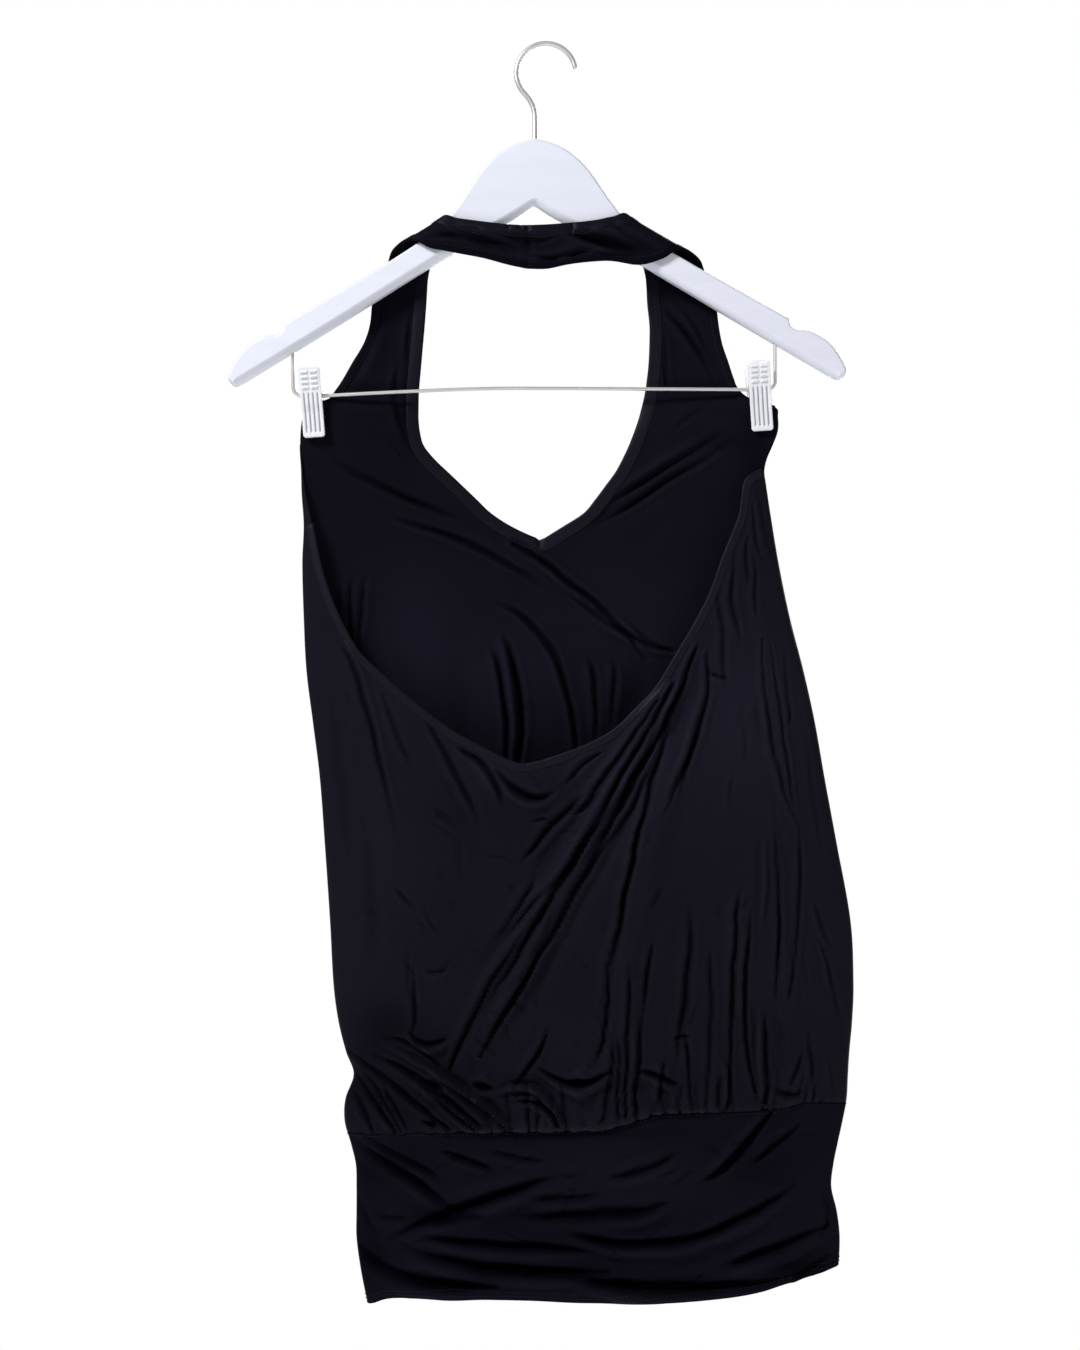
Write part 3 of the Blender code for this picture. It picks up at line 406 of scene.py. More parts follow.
# Largest folds: a soft ridge (height above zero) or trough (below) from one end to the other.
Fold = namedtuple("Fold", "x0 z0 x1 z1 width height")
BACK_FOLDS = table(Fold, [
    (85.0, -462.0, -55.0, -720.0, 16.0, 5.0),
    (104.0, -450.0, 42.0, -735.0, 15.0, 4.0),
    (95.0, -480.0, -20.0, -700.0, 11.0, -4.0),
    (150.0, -380.0, 178.0, -560.0, 14.0, 4.0),
    (-145.0, -440.0, -105.0, -590.0, 14.0, 4.0),
    (-82.0, -490.0, -45.0, -570.0, 12.0, -3.5),
    (-122.0, -725.0, -25.0, -778.0, 12.0, 4.0),
    (-30.0, -742.0, 95.0, -745.0, 11.0, -3.5),
    (160.0, -630.0, 168.0, -750.0, 12.0, -3.5),
    (60.0, -660.0, 58.0, -755.0, 11.0, 3.5),
    (108.0, -640.0, 104.0, -755.0, 11.0, 3.0),
])
FRONT_FOLDS = table(Fold, [
    (-160.0, -300.0, -10.0, -370.0, 14.0, 4.0),
    (140.0, -280.0, 35.0, -345.0, 13.0, 4.0),
    (-20.0, -350.0, 70.0, -440.0, 12.0, -3.0),
    (-60.0, -450.0, -40.0, -640.0, 16.0, 4.0),
    (70.0, -450.0, 30.0, -680.0, 16.0, 4.5),
    (-100.0, -520.0, -110.0, -720.0, 14.0, -4.0),
    (130.0, -480.0, 120.0, -730.0, 15.0, -4.0),
])
BAND_FOLDS = table(Fold, [
    (-120.0, -840.0, 30.0, -806.0, 10.0, 2.0),
    (-115.0, -862.0, 150.0, -872.0, 9.0, -2.0),
    (0.0, -850.0, 150.0, -820.0, 10.0, 2.0),
])

# Half of the board's outline before it is tilted: distance from its centre line, and height.
BoardPoint = namedtuple("BoardPoint", "out z")
BOARD_TOP = table(BoardPoint, [
    (0.0, -68.5), (14.0, -72.5), (27.0, -80.0), (38.5, -91.5), (47.5, -104.5),
    (55.0, -115.5), (64.0, -126.0), (84.7, -142.5), (121.0, -165.0), (181.0, -199.7),
])
BOARD_TIP = table(BoardPoint, [
    (181.5, -204.0), (186.0, -207.5), (196.0, -208.8), (209.5, -217.0), (218.5, -229.5),
    (221.5, -238.0), (217.5, -242.8), (211.0, -240.2),
])
BOARD_UNDER = table(BoardPoint, [
    (171.0, -216.4), (134.5, -194.5), (75.5, -158.3), (50.0, -143.8), (28.5, -132.4),
    (12.0, -122.9), (0.0, -115.0),
])

# The shank below the hook's circle, and the bar: across and up.
SHANK = table(EdgePoint, [
    (-12.0, -38.6), (-8.9, -45.5), (-8.0, -54.0), (-8.0, -88.0),
])
BAR = table(EdgePoint, [
    (-182.2, -212.5), (-182.2, -241.0), (-181.4, -248.0), (-177.8, -251.7), (-172.0, -252.2),
    (-160.0, -251.9), (-104.0, -249.0), (-46.0, -246.8), (1.0, -246.6), (73.0, -247.0),
    (143.0, -247.4), (155.0, -247.4), (161.5, -246.8), (164.7, -243.5), (165.0, -237.0),
    (165.0, -204.5),
])

# Each clip: its pivot on the bar, and how it tilts and turns.
ClipPlace = namedtuple("ClipPlace", "name x z tilt_deg turn_deg")
CLIPS = table(ClipPlace, [
    ("left", -168.6, -252.1, 4.3, 2.0),
    ("right", 153.4, -247.4, 4.0, 1.0),
])
# The jaws' inner faces from the grip down to the tip: height from the pivot and depth.
JawPoint = namedtuple("JawPoint", "z front back")
JAWS = table(JawPoint, [
    (19.5, 7.5, 9.0),
    (4.0, 4.2, 6.4),
    (-6.0, 3.6, 6.3),
    (-13.0, 2.6, 4.6),
    (-30.0, 2.6, 4.2),
])


# ---------------------------------------------------------------- creases
# Each crease runs on a smooth curve from its start through its middle to its end. width is half the
# trough's width, depth how far it sinks away from the wearer's back and how much painted shade its trough
# gets, lean how much more the cloth swells on one side than on the other, and start and end how strong it
# still is there.
Crease = namedtuple("Crease", "x0 z0 x1 z1 x2 z2 width depth lean start end")
# Each broad soft hollow is its middle, its half width and half height, and how deep it is. It sinks the
# cloth a little and also paints shade over it. A negative depth is a swell, with painted light.
PaintedHollow = namedtuple("PaintedHollow", "x z wide tall depth")
BACK_PAINTED_HOLLOWS = table(PaintedHollow, [
    (-113, -702, 22, 20, 0.60), (-84, -757, 46, 22, 0.60), (10, -650, 60, 90, 0.10),
    (40, -750, 70, 18, 0.30), (-134, -738, 20, 30, 0.50), (-80, -722, 34, 22, 0.35),
    (150, -485, 50, 70, -0.35),
    (-40, -520, 26, 14, -0.30), (60, -530, 30, 34, -0.25), (-60, -610, 30, 60, 0.10),
    (150, -716, 60, 42, 0.20), (-125, -560, 34, 110, -0.16),
    (130, -475, 34, 60, -0.18), (-20, -560, 50, 30, 0.12), (92, -662, 16, 60, 0.12),
    (-125, -757, 26, 24, 0.22), (-100, -462, 26, 26, -0.16),
])
# The long thin rows along the hem are painted shade under the band's lower edge, and the one just below the
# hip seam is painted shade under the seam.
BAND_PAINTED_HOLLOWS = table(PaintedHollow, [
    (-66, -887, 34, 6, 1.30), (0, -878, 46, 5, 1.00), (90, -886, 56, 5, 1.10),
    (50, -812, 60, 20, -0.25), (-140, -868, 16, 30, 0.40),
    (20, -852, 90, 22, 0.30),
    (-74, -838, 20, 9, 0.80), (-112, -804, 28, 16, 0.50), (182, -876, 30, 9, 0.80),
    (20, -779, 80, 6, 0.40), (-124, -872, 14, 12, 0.60), (150, -800, 30, 20, 0.30),
    (-26, -864, 44, 8, 0.35),
])
# Two thin rows just above the clip bar are painted shadow of the bar, two narrow ones beside the left
# neckline binding are painted shade, and the negative ones in the middle are painted light where the back
# panel shades the front's inside.
FRONT_PAINTED_HOLLOWS = table(PaintedHollow, [
    (-120, -208, 16, 22, 0.45), (-104, -300, 40, 30, 0.14), (165, -306, 14, 14, 0.60),
    (-10, -470, 60, 50, 0.10), (100, -215, 22, 26, 0.20), (70, -420, 70, 60, -0.45),
    (-110, -430, 40, 50, -0.20), (-40, -450, 50, 40, -0.50), (-95, -420, 26, 40, -0.40),
    (-120, -262, 30, 30, 0.15),
    (-101, -262, 6, 30, 0.70), (-99, -215, 4, 30, 0.50), (126, -285, 20, 7, 0.40),
    (150, -290, 12, 22, 0.50), (-128, -245.5, 30, 3.2, 0.60),
    (115, -242.5, 30, 3.2, 0.50),
])
BACK_CREASES = table(Crease, [
    # down the left side, below the binding
    (-144, -436, -129, -474, -102, -584, 2.6, 2.6, -0.6, 0.7, 0.0),
    (-116, -466, -105, -497, -95, -520, 2.4, 1.8, 0.4, 0.8, 0.0),
    (-83, -491, -64, -524, -45, -565, 2.6, 2.6, 0.5, 0.8, 0.0),
    (-63, -565, -62, -583, -61, -602, 2.0, 0.9, 0.0, 0.0, 0.0),
    (-108, -605, -102, -611, -96, -618, 2.0, 1.8, 0.6, 0.0, 0.0),
    (-98, -645, -97, -670, -93, -697, 2.6, 1.3, 0.0, 0.0, 0.0),
    (-88, -662, -78, -665, -69, -660, 2.0, 2.0, 0.8, 0.0, 0.0),
    (-96, -710, -83, -718, -66, -709, 2.2, 2.2, 0.8, 0.0, 0.0),
    (-152, -470, -146, -530, -139, -600, 4.5, 1.6, 0.0, 0.4, 0.0),
    (-128, -560, -124, -610, -122, -668, 5.5, 1.2, 0.0, 0.0, 0.0),
    # short drapes under the lowest part of the scoop
    (-60, -507, -40, -523, -30, -549, 2.8, 3.2, 0.6, 0.6, 0.0),
    (-34, -522, -14, -540, 5, -536, 3.2, 4.0, 0.7, 0.4, 0.3),
    (26, -539, 4, -561, -22, -590, 2.8, 3.6, -0.5, 0.3, 0.0),
    (38, -508, 24, -519, 10, -534, 2.2, 2.2, 0.4, 0.8, 0.0),
    (38, -533, 30, -544, 17, -553, 2.3, 2.4, 0.5, 0.0, 0.0),
    (-12, -560, -2, -556, 6, -560, 2.2, 1.6, 0.3, 0.0, 0.0),
    # the bundle that runs from the scoop's right to the lower left
    (79, -471, 48, -517, 18, -555, 2.5, 2.8, 0.5, 0.9, 0.0),
    (107, -432, 48, -545, -66, -677, 2.6, 2.6, 0.6, 0.5, 0.0),
    (89, -461, 20, -582, -71, -734, 3.0, 4.0, 0.6, 0.6, 0.2),
    (90, -474, 28, -592, -46, -722, 2.7, 3.6, -0.3, 0.6, 0.0),
    (6, -612, -8, -650, -34, -681, 1.8, 1.8, 0.3, 0.3, 0.0),
    (88, -461, 56, -535, 15, -600, 2.1, 2.6, 0.3, 0.6, 0.0),
    (85, -481, 61, -545, 22, -598, 2.0, 2.2, 0.4, 0.5, 0.0),
    (107, -434, 75, -528, 30, -732, 2.3, 3.2, 0.6, 0.6, 0.2),
    (71, -545, 57, -605, 42, -698, 2.4, 1.8, -0.3, 0.0, 0.0),
    (115, -438, 108, -492, 76, -564, 2.4, 2.8, 0.6, 0.6, 0.0),
    (110, -481, 101, -513, 95, -542, 2.4, 1.8, 0.2, 0.0, 0.0),
    (-4, -590, -22, -622, -46, -652, 2.2, 2.0, 0.4, 0.0, 0.0),
    # the right side, from the clip down
    (134, -371, 133, -403, 140, -434, 2.3, 2.6, 0.2, 0.6, 0.0),
    (150, -369, 150, -392, 152, -414, 2.0, 2.0, 0.2, 0.3, 0.0),
    (155, -428, 160, -498, 180, -562, 2.0, 3.0, 0.6, 0.5, 0.2),
    (161, -431, 170, -500, 178, -556, 1.9, 2.4, -0.4, 0.4, 0.0),
    (170, -433, 173, -464, 174, -496, 1.9, 2.0, 0.3, 0.3, 0.0),
    (153, -472, 156, -488, 160, -504, 2.2, -2.2, 0.4, 0.0, 0.0),
    (162, -545, 166, -611, 165, -674, 1.9, 2.6, 0.2, 0.2, 0.0),
    (180, -558, 181, -611, 174, -682, 1.9, 2.6, 0.2, 0.2, 0.0),
    (167, -608, 166, -650, 163, -690, 1.9, 2.4, -0.2, 0.0, 0.3),
    (156, -560, 155, -600, 153, -640, 2.2, -1.8, 0.0, 0.0, 0.0),
    (115, -450, 123, -454, 132, -455, 1.9, 2.0, 0.6, 0.4, 0.0),
    (122, -395, 126, -425, 128, -470, 2.4, 1.8, 0.2, 0.6, 0.0),
    (146, -352, 143, -372, 146, -392, 2.0, 2.2, 0.0, 0.4, 0.0),
    (153, -322, 157, -345, 166, -378, 2.6, 2.8, 0.4, 0.5, 0.0),
    (148, -330, 150, -350, 156, -372, 2.0, 2.2, 0.4, 0.6, 0.0),
    (186, -480, 192, -540, 199, -590, 2.6, 1.6, 0.0, 0.0, 0.0),
    (184, -440, 190, -480, 196, -530, 2.2, 1.6, 0.0, 0.2, 0.0),
    (190, -612, 197, -632, 204, -648, 1.9, 2.4, 0.5, 0.0, 0.6),
    (204, -648, 199, -650, 194, -648, 1.8, 2.0, 0.2, 0.4, 0.0),
    (195, -645, 203, -676, 213, -716, 2.0, -3.2, -0.6, 0.5, 0.6),
    (198, -652, 206, -684, 213, -722, 2.4, 2.6, -0.6, 0.3, 0.6),
    # gathers that rise from the hip seam
    (138, -606, 134, -650, 129, -766, 2.1, 3.0, 0.3, 0.0, 0.9),
    (148, -611, 141, -684, 149, -750, 2.1, 3.6, 0.5, 0.1, 0.8),
    (155, -688, 157, -722, 157, -758, 2.0, 3.2, 0.3, 0.1, 0.9),
    (151, -690, 152, -722, 153, -756, 1.9, -2.4, 0.0, 0.1, 0.9),
    (103, -612, 100, -670, 91, -736, 2.8, 2.6, 0.3, 0.1, 0.1),
    (99, -700, 101, -730, 104, -766, 2.2, 2.8, 0.4, 0.1, 0.9),
    (92, -712, 96, -710, 106, -710, 2.0, 2.2, 0.4, 0.3, 0.0),
    (77, -640, 72, -664, 68, -692, 2.2, 2.8, 0.4, 0.1, 0.3),
    (68, -690, 65, -734, 63, -768, 2.2, 3.0, 0.5, 0.3, 0.9),
    (58, -652, 58, -699, 56, -766, 2.1, 3.0, 0.4, 0.0, 0.8),
    (44, -656, 43, -696, 33, -732, 2.2, 3.6, 0.4, 0.3, 0.3),
    (47, -699, 45, -740, 38, -772, 2.0, 2.8, 0.3, 0.1, 0.9),
    (51, -704, 51, -735, 50, -768, 1.8, 2.4, 0.3, 0.0, 0.9),
    (184, -720, 178, -734, 172, -748, 2.0, 2.6, 0.3, 0.0, 0.4),
    (164, -748, 173, -752, 182, -750, 3.0, 4.0, 0.3, 0.3, 0.3),
    (124, -722, 130, -740, 126, -764, 1.9, 2.2, 0.3, 0.0, 0.9),
    (174, -645, 175, -668, 171, -692, 1.9, 2.4, 0.3, 0.2, 0.0),
    (116, -640, 117, -690, 114, -762, 2.2, 2.2, 0.3, 0.0, 0.8),
    (84, -722, 82, -742, 84, -768, 1.9, 2.2, 0.2, 0.0, 0.9),
    (67, -735, 80, -738, 96, -748, 2.6, 4.2, 0.4, 0.4, 0.1),
    (186, -700, 190, -730, 192, -756, 2.0, 1.8, 0.2, 0.0, 0.8),
    (200, -722, 204, -738, 206, -752, 2.0, 1.8, 0.2, 0.0, 0.6),
    # drapes that lie over the hip seam at the lower left
    (-118, -716, -70, -742, -25, -776, 2.6, -5.0, 0.0, 0.4, 0.9),
    (-116, -713, -96, -717, -76, -732, 2.2, 3.6, 0.2, 0.3, 0.3),
    (-122, -725, -88, -742, -46, -775, 3.0, 6.0, 0.2, 0.4, 0.9),
    (-140, -723, -110, -745, -68, -778, 2.6, 5.6, 0.4, 0.9, 0.9),
    (-135, -740, -122, -758, -107, -779, 2.4, 5.0, 0.4, 0.8, 0.9),
    (-130, -736, -117, -755, -104, -778, 1.9, 3.4, 0.3, 0.4, 0.9),
    (-117, -745, -110, -758, -100, -777, 1.9, 3.0, 0.3, 0.1, 0.9),
    (-137, -752, -130, -765, -124, -779, 2.6, 4.0, 0.3, 0.6, 0.9),
    (-83, -750, -66, -765, -51, -777, 2.2, 4.2, 0.4, 0.1, 0.9),
    (-97, -708, -84, -716, -68, -710, 2.2, 4.0, 0.8, 0.4, 0.0),
    (-95, -655, -93, -690, -96, -708, 2.0, 2.4, 0.3, 0.2, 0.5),
    (-35, -751, -10, -748, 14, -775, 2.2, -3.6, 0.0, 0.4, 0.9),
    (-24, -756, -4, -759, 9, -775, 2.0, 3.8, 0.2, 0.1, 0.8),
    (-10, -624, -46, -684, -69, -733, 2.4, 4.6, 0.5, 0.3, 0.8),
    (8, -636, -24, -682, -47, -724, 2.4, 4.4, 0.5, 0.3, 0.5),
    (2, -702, -10, -728, -23, -745, 2.0, 3.8, 0.5, 0.2, 0.4),
    (-4, -733, 22, -744, 45, -733, 2.8, 5.6, 0.5, 0.3, 0.4),
    (-50, -744, -45, -746, -40, -747, 4.2, 5.4, 0.0, 0.5, 0.5),
    (-87, -743, -81, -745, -75, -747, 4.0, 5.4, 0.0, 0.5, 0.5),
    (-87, -772, -81, -773, -76, -775, 3.6, 5.0, 0.0, 0.5, 0.5),
    (18, -742, 24, -743, 30, -743, 4.2, 5.0, 0.0, 0.4, 0.4),
])
FRONT_CREASES = table(Crease, [
    (-118, -186, -129, -216, -143, -246, 5.0, 3.2, 0.2, 0.7, 0.3),
    (-118, -182, -130, -213, -144, -246, 4.6, 3.6, -0.5, 0.9, 0.4),
    (-97, -176, -99, -212, -98, -250, 2.4, 2.2, 0.5, 0.6, 0.4),
    (80, -184, 102, -206, 124, -244, 2.8, 3.6, 0.4, 0.5, 0.5),
    (94, -184, 108, -200, 118, -222, 2.4, 2.8, 0.5, 0.6, 0.2),
    (78, -204, 84, -226, 88, -246, 2.4, 2.2, 0.3, 0.2, 0.3),
    (104, -196, 116, -214, 128, -236, 3.0, 2.8, -0.3, 0.3, 0.5),
    (134, -262, 150, -276, 163, -300, 3.2, 3.4, 0.3, 0.5, 0.5),
    (120, -258, 138, -270, 152, -292, 2.6, 2.6, 0.2, 0.3, 0.3),
    # pulled from the clips towards the V of the neckline
    (-166, -284, -128, -312, -50, -344, 2.8, 3.0, 0.5, 0.4, 0.0),
    (-126, -336, -55, -358, 5, -394, 2.8, 2.8, 0.4, 0.0, 0.1),
    (-24, -357, 25, -392, 74, -441, 3.0, 4.0, 0.5, 0.6, 0.3),
    (8, -384, 48, -418, 92, -436, 2.5, 3.0, -0.4, 0.1, 0.4),
    (60, -416, 77, -429, 94, -436, 2.2, 2.2, 0.2, 0.0, 0.3),
    (143, -271, 94, -298, 43, -330, 2.8, 3.2, 0.5, 0.4, 0.2),
    (150, -278, 90, -311, 41, -343, 2.6, 2.8, -0.4, 0.3, 0.1),
    (118, -258, 105, -266, 91, -277, 2.4, 1.8, 0.2, 0.0, 0.0),
    # upright folds behind the scoop
    (-140, -380, -143, -404, -142, -430, 2.6, 3.4, 0.5, 0.0, 0.6),
    (-129, -376, -134, -407, -136, -440, 2.4, 2.6, -0.3, 0.0, 0.6),
    (-41, -399, 4, -436, 23, -520, 2.8, 3.4, 0.5, 0.0, 0.6),
    (-42, -430, -31, -467, -29, -526, 2.6, 3.4, 0.3, 0.0, 0.7),
    (-34, -420, -20, -467, -22, -530, 3.4, 5.0, 0.5, 0.0, 0.8),
    (30, -436, 36, -464, 36, -500, 2.4, 2.4, 0.3, 0.0, 0.5),
    (48, -440, 50, -462, 48, -490, 2.4, 1.8, 0.2, 0.0, 0.4),
    # straps
    (90, -188, 110, -216, 129, -243, 2.6, 2.6, 0.5, 0.4, 0.2),
    (-116, -182, -128, -211, -142, -242, 3.2, 2.4, 0.3, 0.3, 0.3),
    (-106, -226, -107, -260, -87, -304, 2.8, 1.8, 0.3, 0.0, 0.0),
    (84, -200, 88, -226, 90, -250, 2.6, 1.4, 0.0, 0.2, 0.0),
])
# The front below the scoop, which only a look from behind the hanger shows.
FRONT_LOW_CREASES = table(Crease, [
    (-120, -540, -108, -640, -96, -770, 3.2, 2.6, 0.4, 0.0, 0.8),
    (-84, -600, -70, -690, -66, -776, 2.8, 2.8, -0.4, 0.0, 0.9),
    (-44, -560, -36, -660, -30, -776, 3.0, 2.4, 0.5, 0.0, 0.9),
    (-8, -640, -4, -700, -10, -776, 2.6, 2.4, 0.2, 0.0, 0.9),
    (20, -580, 26, -680, 22, -774, 3.0, 2.8, 0.5, 0.0, 0.9),
    (58, -530, 62, -650, 50, -770, 3.2, 3.0, -0.5, 0.0, 0.9),
    (96, -560, 92, -660, 96, -764, 2.8, 2.6, 0.4, 0.0, 0.9),
    (126, -500, 134, -620, 128, -762, 3.4, 3.0, 0.4, 0.0, 0.8),
    (158, -520, 166, -640, 162, -762, 3.0, 2.6, -0.4, 0.0, 0.8),
    (186, -610, 190, -680, 186, -756, 2.6, 2.2, 0.3, 0.0, 0.8),
    (-136, -690, -116, -730, -84, -778, 3.2, 3.4, 0.5, 0.0, 0.8),
    (30, -700, 70, -728, 120, -740, 2.8, 2.8, 0.5, 0.0, 0.0),
    (-60, -700, -90, -730, -120, -740, 2.6, 2.4, 0.4, 0.0, 0.0),
    (-104, -470, -80, -540, -60, -590, 3.2, 2.2, 0.3, 0.0, 0.0),
    (110, -450, 84, -520, 66, -590, 3.0, 2.4, 0.3, 0.0, 0.0),
])
BAND_BACK_CREASES = table(Crease, [
    (-138, -788, -104, -808, -64, -836, 4.2, 5.4, 0.6, 0.5, 0.2),
    (-130, -783, -102, -799, -70, -815, 3.0, 3.6, 0.4, 0.6, 0.0),
    (-112, -857, -54, -831, 20, -808, 4.6, 5.8, 0.6, 0.2, 0.0),
    (-84, -846, -60, -840, -40, -838, 4.0, 3.0, 0.3, 0.0, 0.0),
    (-80, -793, -56, -799, -34, -810, 3.0, 3.2, 0.4, 0.0, 0.0),
    (-46, -790, -20, -798, 4, -800, 3.0, 1.8, 0.4, 0.0, 0.0),
    (-100, -852, -33, -860, 42, -863, 3.8, 4.4, 0.6, 0.0, 0.1),
    (-133, -862, -97, -884, -36, -888, 5.0, 6.4, 0.4, 0.7, 0.2),
    (-104, -863, -38, -876, 44, -879, 4.4, 5.4, 0.5, 0.1, 0.3),
    (10, -880, 90, -891, 172, -884, 4.6, 5.6, 0.4, 0.2, 0.4),
    (6, -846, 74, -859, 138, -842, 4.2, 5.0, 0.6, 0.0, 0.1),
    (102, -854, 142, -840, 179, -817, 3.8, 4.6, 0.5, 0.0, 0.3),
    (159, -765, 135, -796, 107, -817, 3.8, 4.8, 0.5, 0.7, 0.0),
    (181, -774, 164, -788, 143, -803, 3.0, 3.2, 0.4, 0.5, 0.0),
    (126, -876, 160, -864, 202, -848, 4.6, 5.8, 0.5, 0.1, 0.7),
    (199, -826, 203, -840, 198, -854, 3.2, 4.2, 0.0, 0.4, 0.4),
    (172, -882, 186, -880, 203, -868, 3.6, 4.0, 0.3, 0.1, 0.6),
    (40, -812, 70, -806, 98, -791, 4.0, 2.8, 0.4, 0.0, 0.0),
    (-30, -838, 30, -838, 86, -829, 5.0, 2.8, 0.4, 0.0, 0.0),
    (-136, -820, -129, -842, -116, -858, 3.4, 3.2, 0.0, 0.4, 0.0),
    (40, -838, 66, -836, 92, -826, 3.6, 2.4, 0.4, 0.0, 0.0),
    (-20, -822, 14, -826, 44, -824, 3.6, 2.0, 0.4, 0.0, 0.0),
    (-124, -838, -108, -842, -96, -840, 3.2, 2.4, 0.4, 0.2, 0.0),
])
BAND_FRONT_CREASES = table(Crease, [
    (-120, -800, -60, -826, 10, -838, 4.4, 2.8, 0.4, 0.2, 0.0),
    (-100, -860, -20, -852, 60, -868, 4.2, 2.8, 0.4, 0.0, 0.0),
    (30, -800, 90, -822, 170, -816, 4.2, 2.6, 0.4, 0.0, 0.1),
    (60, -884, 120, -872, 190, -850, 4.4, 3.2, 0.4, 0.1, 0.3),
    (-126, -880, -60, -884, 0, -880, 4.0, 2.8, 0.3, 0.3, 0.0),
    (-40, -790, 0, -806, 40, -814, 3.4, 2.0, 0.3, 0.2, 0.0),
])
# The collar, across the hanger's front.
COLLAR_CREASES = table(Crease, [
    (28, -141, 50, -146, 78, -153, 5.0, 3.4, -0.4, 0.3, 0.5),
    (34, -152, 50, -155, 68, -155, 3.6, 2.6, 0.2, 0.0, 0.3),
    (-66, -143, -30, -147, 12, -146, 6.0, 1.8, -0.2, 0.3, 0.3),
    (-70, -152, -44, -156, -18, -162, 3.0, 1.6, 0.4, 0.2, 0.0),
    (-4, -158, 16, -154, 34, -150, 3.0, 1.4, 0.3, 0.0, 0.2),
    (-13.6, -128, -13.8, -148, -13.6, -168, 1.3, 1.0, 0.0, 1.0, 1.0),
    (-84, -142, -60, -140, -36, -150, 2.6, 1.8, 0.4, 0.2, 0.0),
    (-70, -130, -48, -141, -28, -146, 2.4, 1.6, 0.3, 0.0, 0.0),
    (-38, -136, -14, -143, 10, -140, 2.8, 1.4, 0.2, 0.0, 0.0),
    (12, -134, 32, -144, 60, -150, 2.6, 2.0, 0.4, 0.0, 0.1),
    (44, -128, 62, -142, 86, -152, 2.6, 2.0, 0.4, 0.2, 0.2),
    (-14, -152, 8, -156, 26, -150, 2.2, 1.2, 0.2, 0.0, 0.0),
])

# Gathers along the hip seam: how many, their seed, and the stretch of seam that they rise from.
Gathers = namedtuple("Gathers", "count seed left right")
BACK_GATHERS = Gathers(46, 11, -44.0, 208.0)
FRONT_GATHERS = Gathers(46, 12, -132.0, 208.0)
# Slight creases: how many, their seed, the box that they lie in (left, right, low, high), the
# way that most of them run, in degrees, and how far the others stray from it.
SlightCreases = namedtuple("SlightCreases", "count seed box lean spread")
BACK_SLIGHT = table(SlightCreases, [
    (70, 5, (-150.0, 60.0, -760.0, -470.0), 110.0, 35.0),
    (60, 6, (60.0, 215.0, -760.0, -340.0), 92.0, 16.0),
])
FRONT_SLIGHT = table(SlightCreases, [
    (16, 7, (-165.0, 190.0, -540.0, -270.0), -40.0, 24.0),
    (60, 8, (-150.0, 210.0, -770.0, -540.0), 90.0, 25.0),
])
BAND_BOX = (-130.0, 205.0, -895.0, -780.0)
BAND_SLIGHT = {side: SlightCreases(60, 9 + side, BAND_BOX, 12.0, 28.0) for side in (-1, 1)}
# Each panel's soft waves: how strong they are, and their first seed.
BACK_WAVES = (0.7, 3)
FRONT_WAVES = (0.7, 17)
BAND_WAVES = {side: (0.5, 41 + side) for side in (-1, 1)}
COLLAR_WAVES = (0.3, 29)

# ---------------------------------------------------------------- grids
# How many rows, columns and steps the cloth's meshes have. FRONT_LEVELS and FRONT_TOP_LEVELS
# give each level's height and the steps up to it.
BACK_STEPS = 8
BACK_LEVELS = 210
FRONT_SHARES = 88
FRONT_LEVELS = [(-780.0, 0), (-525.0, 56), (-356.0, 92)]
FRONT_TOP_LEVELS = [(-356.0, 0), (-258.0, 50), (-184.0, 20)]
STRAP_STEPS = 4
BAND_LEVELS = 84
BAND_COLUMNS = 264
BAND_EVEN = 0.72


def eased_columns(table, heights):
    """The table's columns at each height, eased between the rows around it."""
    rows = np.array(sorted(table, key=lambda row: -row.height))
    heights = np.clip(heights, rows[-1, 0], rows[0, 0])
    index = np.clip(np.searchsorted(-rows[:, 0], -heights, side="left") - 1, 0, len(rows) - 2)
    before, after = rows[index], rows[index + 1]
    earlier, later = rows[np.maximum(index - 1, 0)], rows[np.minimum(index + 2, len(rows) - 1)]
    span = before[..., :1] - after[..., :1]
    share = (before[..., :1] - heights[..., None]) / span
    start = (after - earlier) * span / (earlier[..., :1] - after[..., :1])
    end = (later - before) * span / (before[..., :1] - later[..., :1])
    s2, s3 = share * share, share**3
    eased = (2 * s3 - 3 * s2 + 1) * before + (3 * s2 - 2 * s3) * after
    eased += (s3 - 2 * s2 + share) * start + (s3 - s2) * end
    return np.moveaxis(eased, -1, 0)


def smooth_line(points, steps):
    """Points on a smooth curve through the given ones."""
    points = np.array(points, float)
    ends = np.vstack([2 * points[0] - points[1], points, 2 * points[-1] - points[-2]])
    line = []
    for a, b, c, d in zip(ends, ends[1:], ends[2:], ends[3:]):
        for step in range(steps):
            t = step / steps
            line.append(0.5 * (2 * b + (c - a) * t + (2 * a - 5 * b + 4 * c - d) * t * t
                               + (3 * b - a - 3 * c + d) * t**3))
    return np.array([*line, points[-1]])


def height_on(edge, x):
    """The height of a left-to-right edge at each x."""
    line = smooth_line(edge, 6)
    return np.interp(x, line[:, 0], line[:, 1])


def stepped(levels):
    """Heights from level to level, with each level's number of steps up to it."""
    parts = [[levels[0][0]]]
    for (low, _), (high, steps) in zip(levels, levels[1:]):
        parts.append(np.linspace(low, high, steps + 1)[1:])
    return np.concatenate(parts)


def eased_step(low, high, value):
    share = np.clip((value - low) / (high - low), 0.0, 1.0)
    return share * share * (3.0 - 2.0 * share)


